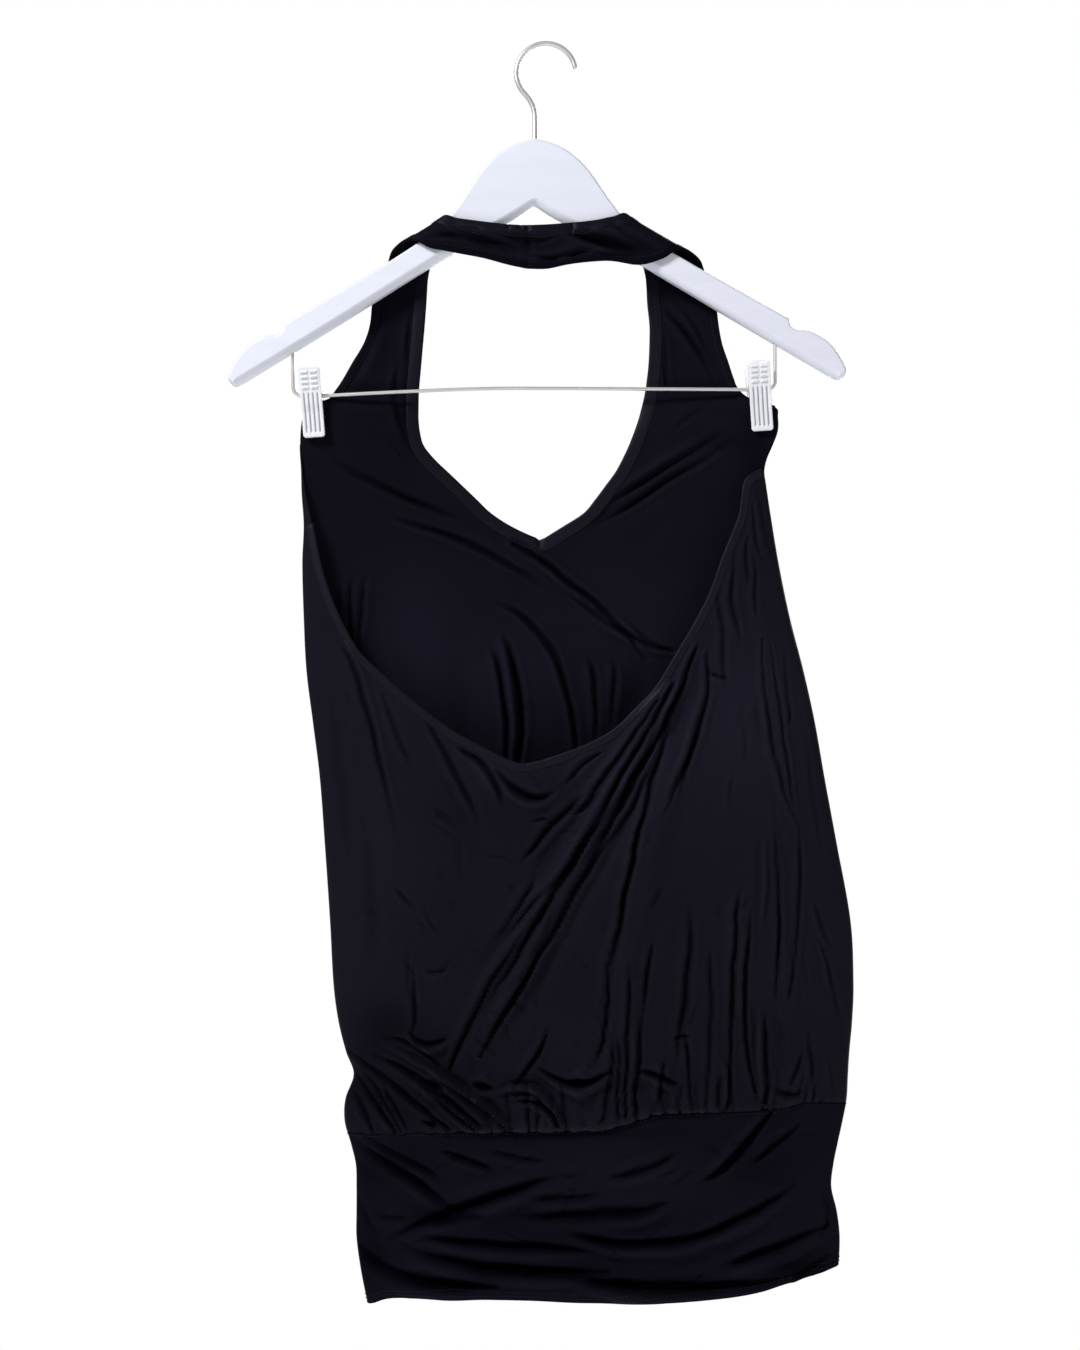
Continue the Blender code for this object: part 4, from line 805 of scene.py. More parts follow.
def soft_waves(x, z, length, seed):
    """Gentle waves of about this length in no one direction, from -1 to 1."""
    chance = np.random.default_rng(seed)
    total = np.zeros_like(x)
    for _ in range(6):
        angle, phase = chance.uniform(0.0, pi), chance.uniform(0.0, 2 * pi)
        reach = length * chance.uniform(0.7, 1.5)
        total += np.sin((x * cos(angle) + z * sin(angle)) * 2 * pi / reach + phase)
    return total / 4.0


def fold_height(folds, x, z):
    """How far the large folds push the cloth outwards."""
    total = np.zeros_like(x)
    for fold in folds:
        along_x, along_z = fold.x1 - fold.x0, fold.z1 - fold.z0
        length = np.hypot(along_x, along_z)
        share = ((x - fold.x0) * along_x + (z - fold.z0) * along_z) / length**2
        off = ((x - fold.x0) * along_z - (z - fold.z0) * along_x) / length
        inside = (share > -FOLD_RUN_ON) & (share < 1.0 + FOLD_RUN_ON) & (abs(off) < fold.width)
        rise = np.sin(pi * (share + FOLD_RUN_ON) / (1.0 + 2 * FOLD_RUN_ON))
        swell = (0.5 + 0.5 * np.cos(pi * off / fold.width)) * rise
        total += np.where(inside, fold.height * swell, 0.0)
    return total


def crease_field(creases, x, z):
    """How far the creases push the cloth in, and the painted shade of each place: positive in the troughs,
    and negative, as painted highlight, on the swells.
    """
    push, trough = np.zeros_like(x), np.zeros_like(x)
    t = np.linspace(0.0, 1.0, CREASE_POINTS)[:, None]
    for crease in creases:
        start, middle, end = np.array(crease[:6]).reshape(3, 2)
        control = 2 * middle - (start + end) / 2
        line = (1 - t)**2 * start + 2 * t * (1 - t) * control + t * t * end
        margin = CREASE_REACH * crease.width
        near = (x > line[:, 0].min() - margin) & (x < line[:, 0].max() + margin)
        near &= (z > line[:, 1].min() - margin) & (z < line[:, 1].max() + margin)
        if not near.any():
            continue
        place = np.stack([x[near], z[near]], axis=-1)[:, None, :]
        way = line[1:] - line[:-1]
        share = ((place - line[:-1]) * way).sum(axis=2) / (way**2).sum(axis=1)
        share = np.clip(share, 0.0, 1.0)
        gap = place - (line[:-1] + share[..., None] * way)
        far = np.hypot(gap[..., 0], gap[..., 1])
        best = far.argmin(axis=1)
        every = np.arange(len(best))
        gap, far, way = gap[every, best], far[every, best], way[best]
        off = far * np.sign(gap[:, 0] * way[:, 1] - gap[:, 1] * way[:, 0])
        along = (best + share[every, best]) / len(t[1:])
        strength = 1.0 - (1.0 - crease.start) * (1.0 - eased_step(0.0, CREASE_FADE, along))
        strength -= (1.0 - crease.end) * eased_step(1.0 - CREASE_FADE, 1.0, along)
        narrow = CREASE_END_WIDTH + (1.0 - CREASE_END_WIDTH) * np.sin(pi * along)
        off = off / (crease.width * CREASE_WIDTH_SHARE * narrow)
        valley = np.exp(-off * off)
        lean = SWELL_LEAN * crease.lean
        swell = (0.5 + lean) * np.exp(-((off - SWELL_AWAY) / SWELL_WIDTH)**2)
        swell += (0.5 - lean) * np.exp(-((off + SWELL_AWAY) / SWELL_WIDTH)**2)
        push[near] += CREASE_DEPTH_SHARE * crease.depth * strength * (valley - SWELL_HEIGHT * swell)
        # Painted shade in the trough and painted highlight on the swells, stronger for deeper creases.
        shade_strength = np.clip(crease.depth / FULL_SHADE_DEPTH, *PAINTED_SHADE_RANGE)
        trough[near] += shade_strength * strength * (valley - SWELL_PAINTED_LIGHT * swell)
    return push, trough


def seam_gathers(count, seed, left, right):
    """Small creases that rise from the hip seam, uneven in length, depth and place."""
    chance = np.random.default_rng(seed)
    gathers = []
    for x in np.sort(chance.uniform(left, right, count)):
        low = float(height_on(HIP_SEAM, x)) - 2.0
        length = chance.uniform(*GATHER_LENGTHS)
        bend = chance.uniform(-2.0, 2.0)
        top_x = x + chance.uniform(-4.0, 4.0) + 0.04 * (x - 30.0)
        gathers.append(Crease(top_x, low + length, (x + top_x) / 2 + bend, low + length / 2, x, low,
                              chance.uniform(*GATHER_WIDTHS), chance.uniform(*GATHER_DEPTHS),
                              chance.uniform(-0.6, 0.8), 0.0, 1.0))
    return gathers


def slight_creases(count, seed, box, lean, spread):
    """Many short faint creases inside a box, most of them near one direction."""
    chance = np.random.default_rng(seed)
    left, right, low, high = box
    creases = []
    for _ in range(count):
        x, z = chance.uniform(left, right), chance.uniform(low, high)
        angle, half = radians(lean + chance.normal(0.0, spread)), chance.uniform(*SLIGHT_HALVES)
        bend = chance.uniform(-0.16, 0.16) * half
        over, up = half * cos(angle), half * sin(angle)
        middle_x, middle_z = x - bend * sin(angle), z + bend * cos(angle)
        creases.append(Crease(x - over, z - up, middle_x, middle_z, x + over, z + up,
                              chance.uniform(*SLIGHT_WIDTHS), chance.uniform(*SLIGHT_DEPTHS),
                              chance.uniform(-0.8, 0.8), 0.0, 0.0))
    return creases


def creased(creases, painted_hollows, x, z, calm, waves):
    """The push and painted shade of a panel's creases and hollows, with soft unevenness and calm near its
    seams. The hollows sink the cloth and paint shade over it, or painted light where they swell, and their
    painted shade is not calmed."""
    swell, seed = waves
    wander = [far * soft_waves(x, z, length, seed + step) for step, (far, length) in
              enumerate((WANDER_ACROSS, WANDER_FINE, WANDER_UP))]
    across, up = x + wander[0] + wander[1], z + wander[2]
    push, trough = crease_field(creases, across, up)
    # Painted shade of the hollows, painted light where negative, beside the real dip that they push in.
    shade = 0.0
    for painted_hollow in painted_hollows:
        across_share, up_share = (x - painted_hollow.x) / painted_hollow.wide, (z - painted_hollow.z) / painted_hollow.tall
        dip = painted_hollow.depth * np.exp(-across_share ** 2 - up_share ** 2)
        push += HOLLOW_DEPTH * dip
        shade = shade + dip
    push += (swell * soft_waves(x, z, WAVE_LENGTH, seed + 3)
             + FINE_WAVE_SHARE * swell * soft_waves(x, z, FINE_WAVE_LENGTH, seed + 4))
    return push * calm, np.clip(trough * calm + shade, -1.0, 1.0)


def body_row(fraction, z, side):
    """Places on the body's plain middle surface, and how far each stands from the side seams."""
    _, left, right, depth, square = eased_columns(BODY_ROWS, z)
    x = left + (right - left) * fraction
    reach = np.minimum(abs(2.0 * fraction - 1.0), 1.0)
    bulge = np.maximum(1.0 - reach**square, 0.0) ** (1.0 / square)
    y = SEAM_GAP / 2 + (depth - SEAM_GAP / 2) * bulge
    return x, side * y, bulge


def body_fraction(x, z):
    _, left, right, _, _ = eased_columns(BODY_ROWS, z)
    return np.clip((x - left) / (right - left), 0.0, 1.0)


def back_low_fractions(tops):
    return 0.5 * np.linspace(0.0, 1.0, len(tops)) + 0.5 * tops


def seam_share(x):
    """How much the hip seam stands up along its length."""
    return eased_step(*SEAM_RISES, x) * (1.0 - SEAM_SINK_SHARE * eased_step(*SEAM_SINKS, x))


def back_surface():
    """The back's middle surface and painted shade, in rows from the scoop down to the hip seam."""
    scoop = smooth_line(SCOOP, BACK_STEPS)
    top = body_fraction(scoop[:, 0], scoop[:, 1])
    top[0], top[-1] = 0.0, 1.0
    top = np.maximum.accumulate(top)
    low = back_low_fractions(top)
    low_x = body_row(low, np.full_like(low, HIP_SEAM[0].z), -1)[0]
    seam = height_on(HIP_SEAM, low_x) + SEAM_GAP / 2
    share = np.linspace(0.0, 1.0, BACK_LEVELS + 1)[:, None]
    fraction = top + (low - top) * share
    z = scoop[:, 1] + (seam - scoop[:, 1]) * share
    x, y, bulge = body_row(fraction, z, -1)
    calm = np.clip(bulge, 0.0, 1.0)**CALM_POWER
    creases = BACK_CREASES + seam_gathers(*BACK_GATHERS)
    for slight in BACK_SLIGHT:
        creases += slight_creases(*slight)
    push, trough = creased(creases, BACK_PAINTED_HOLLOWS, x, z, calm, BACK_WAVES)
    y = y - fold_height(BACK_FOLDS, x, z) * bulge**2 * FOLD_SHARE + push
    above = z - seam
    # Painted highlight along a thin lip just above the seam, and a real puff of cloth a little higher.
    painted_lip_light = np.exp(-((above - SEAM_HIGHLIGHT_HEIGHT) / SEAM_HIGHLIGHT_WIDTH) ** 2)
    puff = np.exp(-((above - SEAM_PUFF_HEIGHT) / SEAM_PUFF_WIDTH) ** 2)
    trough -= SEAM_SHADE * painted_lip_light * seam_share(x)
    y = y - SEAM_PUFF * bulge * puff * seam_share(x)
    return np.stack([x, y, z], axis=-1), trough


def front_surface(side):
    """Half of the front's middle surface and painted shade, in rows from the hip seam up to the neck's
    centre-back seam. Each row runs from the outer edge to the middle or the neckline."""
    share = np.linspace(0.0, 1.0, FRONT_SHARES + 1)
    share = 0.5 * share + 0.5 * share**0.8
    fraction = share / 2 if side < 0 else 1.0 - share / 2
    low_x = body_row(fraction, np.full_like(fraction, HIP_SEAM[0].z), 1)[0]
    seam = height_on(HIP_SEAM, low_x) + SEAM_GAP / 2
    rise = stepped(FRONT_LEVELS)
    rise = (rise - rise[0])[:, None] / (rise[-1] - rise[0])
    z = seam + (FRONT[0].height - seam) * rise
    x, y, bulge = body_row(np.broadcast_to(fraction, z.shape), z, 1)
    levels = stepped(FRONT_TOP_LEVELS)[1:, None]
    _, out_left, in_left, in_right, out_right, out_y, in_y, square = eased_columns(FRONT, levels)
    outer, inner = (out_left, in_left) if side < 0 else (out_right, in_right)
    swell = (1.0 - (1.0 - share) ** square) ** (1.0 / square)
    x = np.vstack([x, outer + (inner - outer) * share])
    y = np.vstack([y, out_y + (in_y - out_y) * swell])
    z = np.vstack([z, np.broadcast_to(levels, (len(levels), len(share)))])
    calm = np.vstack([bulge, np.broadcast_to(swell, (len(levels), len(share)))])
    calm[-len(levels):] *= eased_step(*NECK_CALM, (1.0 - share) * abs(inner - outer))
    creases = FRONT_CREASES + FRONT_LOW_CREASES + seam_gathers(*FRONT_GATHERS)
    for slight in FRONT_SLIGHT:
        creases += slight_creases(*slight)
    still = np.clip(calm, 0.0, 1.0)**CALM_POWER
    push, trough = creased(creases, FRONT_PAINTED_HOLLOWS, x, z, still, FRONT_WAVES)
    fade = 1.0 - eased_step(*STRAP_FADE_HEIGHTS, z)
    y = y + fold_height(FRONT_FOLDS, x, z) * calm**2 * FOLD_SHARE * fade + push * fade
    panel = np.stack([x, y, z], axis=-1)
    strap, strap_painted_shade = strap_surface(side, share, panel[-6], panel[-1])
    # The panel's painted shade fades out up the straps.
    shade = 1.0 - eased_step(*STRAP_SHADE_HEIGHTS, z)
    return np.vstack([panel, strap[1:]]), np.vstack([trough * shade, strap_painted_shade[1:]])


def strap_surface(side, share, before, below):
    """A strap's middle surface, from the front up behind the hanger's arm, over it, and down to
    the centre-back neck seam."""
    ends = [(before[0], before[-1]), (below[0], below[-1])]

    def add(row, y):
        ends.append((np.array((row.out_x, y, row.out_z)), np.array((row.in_x, y, row.in_z))))

    add(STRAP_BEHIND[side], STRAP_Y)
    start, end, normal = CROSSING_START[side], CROSSING_END[side], ARM_NORMAL[side]
    for cross in CROSSING:
        rises = (cross.out_rise, cross.out_rise, cross.in_rise, cross.in_rise)
        row = [a + (b - a) * cross.share + c * rise for a, b, c, rise in zip(start, end, normal, rises)]
        add(StrapRow(*row), cross.y)
    for row in STRAP_FRONT[side]:
        add(row, -STRAP_Y)
    line = smooth_line([np.concatenate(pair) for pair in ends], STRAP_STEPS)[STRAP_STEPS:]
    across = line[:, None, :3] + (line[:, None, 3:] - line[:, None, :3]) * share[:, None]
    x, y, z = np.moveaxis(across, -1, 0)
    hanging = eased_step(*COLLAR_HANGS, -y) * eased_step(0.0, 0.2, share) * eased_step(1.0, 0.8, share)
    push, trough = creased(COLLAR_CREASES, [], x, z, hanging, COLLAR_WAVES)
    droop = COLLAR_DROOP * np.sin(pi * share) * eased_step(*COLLAR_DROOPS, abs(y))
    y = y + push + np.sign(y) * droop
    return np.stack([x, y, z], axis=-1), trough


def band_surface(side):
    """Half of the hip band's middle surface and painted shade, in rows from the seam to the hem."""
    turn = np.linspace(0.0, pi, BAND_COLUMNS + 1)
    even = np.linspace(0.0, 1.0, BAND_COLUMNS + 1)
    fraction = BAND_EVEN * even + (1.0 - BAND_EVEN) * (0.5 - 0.5 * np.cos(turn))
    high_x = body_row(fraction, np.full_like(fraction, HIP_SEAM[0].z), side)[0]
    low_x = body_row(fraction, np.full_like(fraction, HEM[2].z), side)[0]
    high = height_on(HIP_SEAM, high_x) - SEAM_GAP / 2
    low = height_on(HEM, low_x)
    level = np.linspace(0.0, 1.0, BAND_LEVELS + 1)[:, None]
    z = high + (low - high) * level
    x, y, bulge = body_row(np.broadcast_to(fraction, z.shape), z, side)
    creases = BAND_BACK_CREASES if side < 0 else BAND_FRONT_CREASES
    creases = creases + slight_creases(*BAND_SLIGHT[side])
    folds, painted_hollows = (BAND_FOLDS, BAND_PAINTED_HOLLOWS) if side < 0 else ([], BAND_PAINTED_HOLLOWS[:2])
    calm = np.clip(bulge, 0.0, 1.0)**CALM_POWER
    push, trough = creased(creases, painted_hollows, x, z, calm, BAND_WAVES[side])
    # Painted shade on the band just under the seam.
    painted_seam_shade = SEAM_SHADE * np.exp(-((high - z) / SEAM_SHADE_WIDTH) ** 2) * seam_share(x)
    trough = np.clip(trough + painted_seam_shade, -1.0, 1.0)
    y = y + side * fold_height(folds, x, z) * bulge**2 + push
    y = y + side * SEAM_ROLL * np.exp(-((z - high) / SEAM_ROLL_WIDTH) ** 2) * bulge
    return np.stack([x, y, z], axis=-1), trough


# ---------------------------------------------------------------- meshes
def new_piece(name, points, faces, material, smooth=True):
    """A mesh object in metres from places in millimetres."""
    mesh = bpy.data.meshes.new(name)
    mesh.from_pydata((np.asarray(points) * MM).tolist(), [], faces)
    mesh.materials.append(material)
    if smooth:
        mesh.shade_smooth()
    piece = bpy.data.objects.new(name, mesh)
    bpy.context.scene.collection.objects.link(piece)
    return piece


def grid_faces(rows, columns, first=0, closed=False):
    """Quads of a grid of points, with its last column joined to its first where it is closed."""
    faces = []
    for row in range(rows - 1):
        for column in range(columns if closed else columns - 1):
            follow = (column + 1) % columns
            a, b = first + row * columns, first + (row + 1) * columns
            faces.append((a + column, a + follow, b + follow, b + column))
    return faces


def tube_faces(count, sides):
    """Faces of a tube of closed rings, with its two ends."""
    last = (count - 1) * sides
    faces = grid_faces(count, sides, closed=True)
    return faces + [tuple(range(sides))[::-1], tuple(range(last, last + sides))]


def store_values(piece, name, values):
    """Keeps a value for each place of a piece, for its material."""
    layer = piece.data.attributes.new(name, "FLOAT", "POINT")
    layer.data.foreach_set("value", np.asarray(values, np.float32).ravel())


def apply_modifiers(piece):
    """Replaces a piece's mesh by what its modifiers make of it, and removes them."""
    graph = bpy.context.evaluated_depsgraph_get()
    mesh = bpy.data.meshes.new_from_object(piece.evaluated_get(graph))
    piece.modifiers.clear()
    piece.data = mesh
    return piece


def outward_faces(piece, towards=None):
    """Merges a piece's doubles and turns its faces outwards, or towards a way it is given."""
    bm = bmesh.new()
    bm.from_mesh(piece.data)
    bmesh.ops.remove_doubles(bm, verts=bm.verts, dist=0.00001)
    bmesh.ops.recalc_face_normals(bm, faces=bm.faces)
    if towards is not None:
        lean = sum(face.normal.dot(towards) * face.calc_area() for face in bm.faces)
        if lean < 0.0:
            bmesh.ops.reverse_faces(bm, faces=bm.faces)
    bm.to_mesh(piece.data)
    bm.free()
    return piece


def sew_panel(name, grids, towards, material):
    """A thin shell of jersey on grids of middle-surface places, with each place's painted shade for its
    material.
    """
    points, faces, painted_shades, knit = [], [], [], []
    for rows, trough in grids:
        count, width = rows.shape[:2]
        faces += grid_faces(count, width, sum(len(part) for part in points))
        points.append(rows.reshape(-1, 3))
        painted_shades.append(trough.reshape(-1))
        along = np.linalg.norm(np.diff(rows, axis=1, prepend=rows[:, :1]), axis=2).cumsum(axis=1)
        down = np.linalg.norm(np.diff(rows, axis=0, prepend=rows[:1]), axis=2).cumsum(axis=0)
        knit.append(np.stack([along + rows[:, :1, 0], down], axis=-1).reshape(-1, 2) * MM)
    piece = new_piece(name, np.vstack(points), faces, material)
    store_values(piece, "trough", np.concatenate(painted_shades))
    mesh = piece.data
    corner = np.empty(len(mesh.loops), np.int32)
    mesh.loops.foreach_get("vertex_index", corner)
    layer = mesh.uv_layers.new(name="knit")
    layer.data.foreach_set("uv", np.vstack(knit)[corner].astype(np.float32).ravel())
    outward_faces(piece, Vector(towards))
    surface = BVHTree.FromBMesh(mesh_copy(piece))
    wall = piece.modifiers.new("wall", "SOLIDIFY")
    wall.thickness = JERSEY_WALL * MM
    wall.offset = 0.0
    return apply_modifiers(piece), surface


def mesh_copy(piece):
    bm = bmesh.new()
    bm.from_mesh(piece.data)
    return bm


def lie_on(surface, place, towards):
    """The nearest place on the cloth, with its normal on the side of a given way."""
    found, normal, _, _ = surface.find_nearest(Vector(place) * MM)
    if normal.dot(towards) < 0.0:
        normal = -normal
    return found / MM, normal


def edge_frames(rows, column, first):
    """Each place along a grid's edge column from a row up, with the way into the cloth."""
    edge = rows[first:, column]
    beside = rows[first:, column + (4 if column == 0 else -4)]
    along = np.gradient(edge, axis=0)
    along /= np.linalg.norm(along, axis=1)[:, None]
    inward = beside - edge
    inward -= (inward * along).sum(axis=1)[:, None] * along
    inward /= np.linalg.norm(inward, axis=1)[:, None]
    return edge, inward


def bind_edge(name, surface, edge, inward, reach, facing, material, shade=0.0):
    """A folded strip of binding round an edge of the cloth. facing is the side that its first row lies on,
    and shade is the painted shade that it gets, which turns to the collar's painted shade near the top. The
    strip's two hems stay open inside the fold, as a thin closed wall."""
    rings, hems = [], []
    towards = Vector(facing)
    for place, way in zip(edge, inward):
        front = []
        for share in BINDING_SHARES:
            on, normal = lie_on(surface, place + way * share * reach, towards)
            towards = normal
            lift = BINDING_LIFT + BINDING_SWELL * (1.0 - share)**0.5
            if share == 1.0:
                lift = BINDING_LIFT - BINDING_HEM_PRESS
            front.append((np.array(on), np.array(normal), lift))
        nose = np.array(place) - way * BINDING_EDGE
        edge_on, edge_normal, edge_lift = front[-1]
        outer = [on + normal * lift for on, normal, lift in front]
        bulge = edge_normal * BINDING_NOSE * edge_lift
        outer += [nose + bulge, nose - bulge]
        outer += [on - normal * lift for on, normal, lift in front[::-1]]
        inner = [on - normal * (lift - BINDING_WALL_THIN) for on, normal, lift in front]
        fold = nose * 0.5 + edge_on * 0.5
        gap = edge_normal * BINDING_FOLD_HALF
        inner += [fold - gap, fold + gap]
        inner += [on + normal * (lift - BINDING_WALL_THIN) for on, normal, lift in front[::-1]]
        rings.append(outer + inner)
        hems.append((front[1], front[2]))
        towards = Vector(front[0][1])
    rings = np.array(rings)
    faces = grid_faces(len(rings), rings.shape[1], closed=True)
    half = rings.shape[1] // 2
    for row in (0, len(rings) - 1):
        base = row * rings.shape[1]
        for corner in range(half - 1):
            last = rings.shape[1] - 1
            faces.append((base + corner, base + corner + 1, base + last - corner - 1, base + last - corner))
    piece = new_piece(name, rings.reshape(-1, 3), faces, material)
    # Painted shade along the binding, turning to the collar's painted shade higher up.
    depth = shade + (COLLAR_SHADE - shade) * eased_step(*COLLAR_HEIGHTS, rings[:, :, 2])
    store_values(piece, "trough", depth)
    return outward_faces(piece), hems


def stitch_line(hems, share, sides=(1, -1)):
    """Lines of places for stitches on one or both sides of a binding."""
    lines = []
    for side in sides:
        line = []
        for (near, near_normal, near_lift), (far, far_normal, _) in hems:
            on = near + (far - near) * share
            normal = near_normal + (far_normal - near_normal) * share
            line.append(on + side * normal * (near_lift + STITCH_WIDTH * STITCH_RISE))
        lines.append(np.array(line))
    return lines


def seam_line(surface, places, towards):
    """A line of places for stitches along a seam or hem of a panel."""
    line = []
    way = Vector(towards)
    for place in places:
        on, normal = lie_on(surface, place, way)
        line.append(np.array(on + normal * SEAM_STITCH_LIFT))
    return np.array(line)


def roll_seam(surface, material):
    """The rolled edge of the hip seam, which stands up along the middle and sinks in at its ends."""
    path = []
    for x in np.linspace(*SEAM_EDGE_SPAN, SEAM_EDGE_POINTS):
        place = (x, -10.0, float(height_on(HIP_SEAM, x)) + SEAM_EDGE_RADIUS)
        on, normal = lie_on(surface, place, Vector((0, -1, 0)))
        lift = SEAM_EDGE_RADIUS * (SEAM_EDGE_RISE * float(seam_share(x)) - SEAM_EDGE_SINK)
        path.append(np.array(on + normal * lift))
    return round_wire("hip_seam_edge", np.array(path), SEAM_EDGE_RADIUS, SEAM_EDGE_SIDES, material)


def stitch_tree():
    """Short thread stitches along a piece's edges."""
    tree = bpy.data.node_groups.new("stitches along an edge", "GeometryNodeTree")
    face = tree.interface
    face.new_socket("Geometry", in_out="INPUT", socket_type="NodeSocketGeometry")
    for name in ("Spacing", "Stitch length", "Stitch width"):
        face.new_socket(name, in_out="INPUT", socket_type="NodeSocketFloat")
    face.new_socket("Thread", in_out="INPUT", socket_type="NodeSocketMaterial")
    face.new_socket("Geometry", in_out="OUTPUT", socket_type="NodeSocketGeometry")
    nodes, links = tree.nodes, tree.links
    given, made = nodes.new("NodeGroupInput"), nodes.new("NodeGroupOutput")
    curve = nodes.new("GeometryNodeMeshToCurve")
    spaced = nodes.new("GeometryNodeResampleCurve")
    spaced.mode = "LENGTH"
    thread = nodes.new("GeometryNodeMeshIcoSphere")
    thread.inputs["Radius"].default_value = 1.0
    thread.inputs["Subdivisions"].default_value = 1
    size = nodes.new("ShaderNodeCombineXYZ")
    shaped = nodes.new("GeometryNodeTransform")
    tangent = nodes.new("GeometryNodeInputTangent")
    turned = nodes.new("FunctionNodeAlignRotationToVector")
    turned.axis = "X"
    placed = nodes.new("GeometryNodeInstanceOnPoints")
    real = nodes.new("GeometryNodeRealizeInstances")
    finish = nodes.new("GeometryNodeSetMaterial")
    halves = [nodes.new("ShaderNodeMath") for _ in range(2)]
    for half, name in zip(halves, ("Stitch length", "Stitch width")):
        half.operation = "MULTIPLY"
        half.inputs[1].default_value = 0.5
        links.new(given.outputs[name], half.inputs[0])
    for source, out, target, into in (
        (given, "Geometry", curve, "Mesh"), (curve, "Curve", spaced, "Curve"),
        (given, "Spacing", spaced, "Length"), (halves[0], 0, size, "X"), (halves[1], 0, size, "Y"),
        (halves[1], 0, size, "Z"), (thread, "Mesh", shaped, "Geometry"), (size, "Vector", shaped, "Scale"),
        (spaced, "Curve", placed, "Points"), (shaped, "Geometry", placed, "Instance"),
        (tangent, "Tangent", turned, "Vector"), (turned, "Rotation", placed, "Rotation"),
        (placed, "Instances", real, "Geometry"), (real, "Geometry", finish, "Geometry"),
        (given, "Thread", finish, "Material"), (finish, "Geometry", made, "Geometry"),
    ):
        links.new(source.outputs[out], target.inputs[into])
    return tree


def set_input(modifier, name, value):
    """Sets a Geometry Nodes input by its socket's identifier."""
    for item in modifier.node_group.interface.items_tree:
        if item.in_out == "INPUT" and item.name == name:
            modifier[item.identifier] = value


def sew_stitches(name, lines, tree, thread):
    """Real stitches along lines of places, as one plain mesh."""
    mesh = bpy.data.meshes.new(name)
    points = np.vstack(lines) * MM
    edges, first = [], 0
    for line in lines:
        edges += [(first + step, first + step + 1) for step in range(len(line) - 1)]
        first += len(line)
    mesh.from_pydata(points.tolist(), edges, [])
    piece = bpy.data.objects.new(name, mesh)
    bpy.context.scene.collection.objects.link(piece)
    modifier = piece.modifiers.new("stitches", "NODES")
    modifier.node_group = tree
    set_input(modifier, "Spacing", STITCH_STEP * MM)
    set_input(modifier, "Stitch length", STITCH_LENGTH * MM)
    set_input(modifier, "Stitch width", STITCH_WIDTH * MM)
    set_input(modifier, "Thread", thread)
    apply_modifiers(piece)
    piece.data.shade_smooth()
    return piece


def round_wire(name, path, radius, sides, material):
    """A smooth wire with rounded ends along a line of places."""
    path = np.array(path)
    along = np.gradient(path, axis=0)
    along /= np.linalg.norm(along, axis=1)[:, None]
    side = np.cross(along[0], (0.0, 1.0, 0.31))
    rings = []
    turns = np.linspace(0.0, 2 * pi, sides, endpoint=False)
    caps = [(-sin(a), cos(a)) for a in np.radians(WIRE_END_DEGS)]
    for index, (place, way) in enumerate(zip(path, along)):
        side -= side.dot(way) * way
        side /= np.linalg.norm(side)
        other = np.cross(way, side)
        circle = np.outer(np.cos(turns), side) + np.outer(np.sin(turns), other)
        if index == 0:
            rings += [place + way * radius * step + circle * radius * size for step, size in caps]
        rings.append(place + circle * radius)
        if index == len(path) - 1:
            rings += [place - way * radius * step + circle * radius * size for step, size in caps[::-1]]
    faces = tube_faces(len(rings), sides)
    return outward_faces(new_piece(name, np.vstack(rings), faces, material))


# ---------------------------------------------------------------- hanger
def board_outline():
    half = [smooth_line(points, 7) for points in (BOARD_TOP, BOARD_TIP, BOARD_UNDER)]
    half = np.vstack(half)
    half = np.vstack([half, half[-2:0:-1] * (-1.0, 1.0)])
    keep = np.linalg.norm(half - np.roll(half, 1, axis=0), axis=1) > 0.05
    half = half[keep]
    turn = radians(BOARD_TILT_DEG)
    x, z = half[:, 0], half[:, 1] - BOARD_TOP[0].z
    across = x * cos(turn) - z * sin(turn) + BOARD_CENTRE_X
    return np.stack([across, x * sin(turn) + z * cos(turn) + BOARD_TOP[0].z], axis=-1)


def carve_board(material):
    """The shaped wooden board, with rounded edges all round."""
    line = board_outline()
    way = np.roll(line, -1, axis=0) - np.roll(line, 1, axis=0)
    way /= np.linalg.norm(way, axis=1)[:, None]
    for _ in range(6):
        way = way * 0.5 + 0.25 * (np.roll(way, 1, axis=0) + np.roll(way, -1, axis=0))
    inward = np.stack([way[:, 1], -way[:, 0]], axis=-1)
    bend = np.roll(way, -1, axis=0) - np.roll(way, 1, axis=0)
    step = np.linalg.norm(np.roll(line, -1, axis=0) - np.roll(line, 1, axis=0), axis=1)
    tight = np.maximum((bend * inward).sum(axis=1) / step, 1e-4)
    under = eased_step(*BOARD_TURN, inward[:, 1])
    rounding = BOARD_TOP_ROUND + (BOARD_UNDER_ROUND - BOARD_TOP_ROUND) * under
    most = np.minimum(rounding, BOARD_TIGHTEST / tight)
    for _ in range(12):
        most = np.minimum(most, (np.roll(most, 1) + most + np.roll(most, -1)) / 3)
    rings = []
    turns = np.linspace(0.0, pi / 2, BOARD_EDGE_STEPS)
    half = BOARD_THICKNESS / 2
    for side in (-1, 1):
        ring_set = []
        for turn in turns:
            out, rise = cos(turn) ** BOARD_EDGE_POWER, sin(turn) ** BOARD_EDGE_POWER
            inset = (most * (1.0 - out))[:, None]
            y = side * (half - rounding + rounding * rise)
            ring = line + inward * inset
            ring_set.append(np.stack([ring[:, 0], y, ring[:, 1]], axis=-1))
        ring = line + inward * (most + BOARD_FACE_RING)[:, None]
        ring_set.append(np.stack([ring[:, 0], np.full(len(ring), side * half), ring[:, 1]], axis=-1))
        rings += ring_set[::-1] if side < 0 else ring_set
    faces = tube_faces(len(rings), len(line))
    return outward_faces(new_piece("carved_board", np.vstack(rings), faces, material))


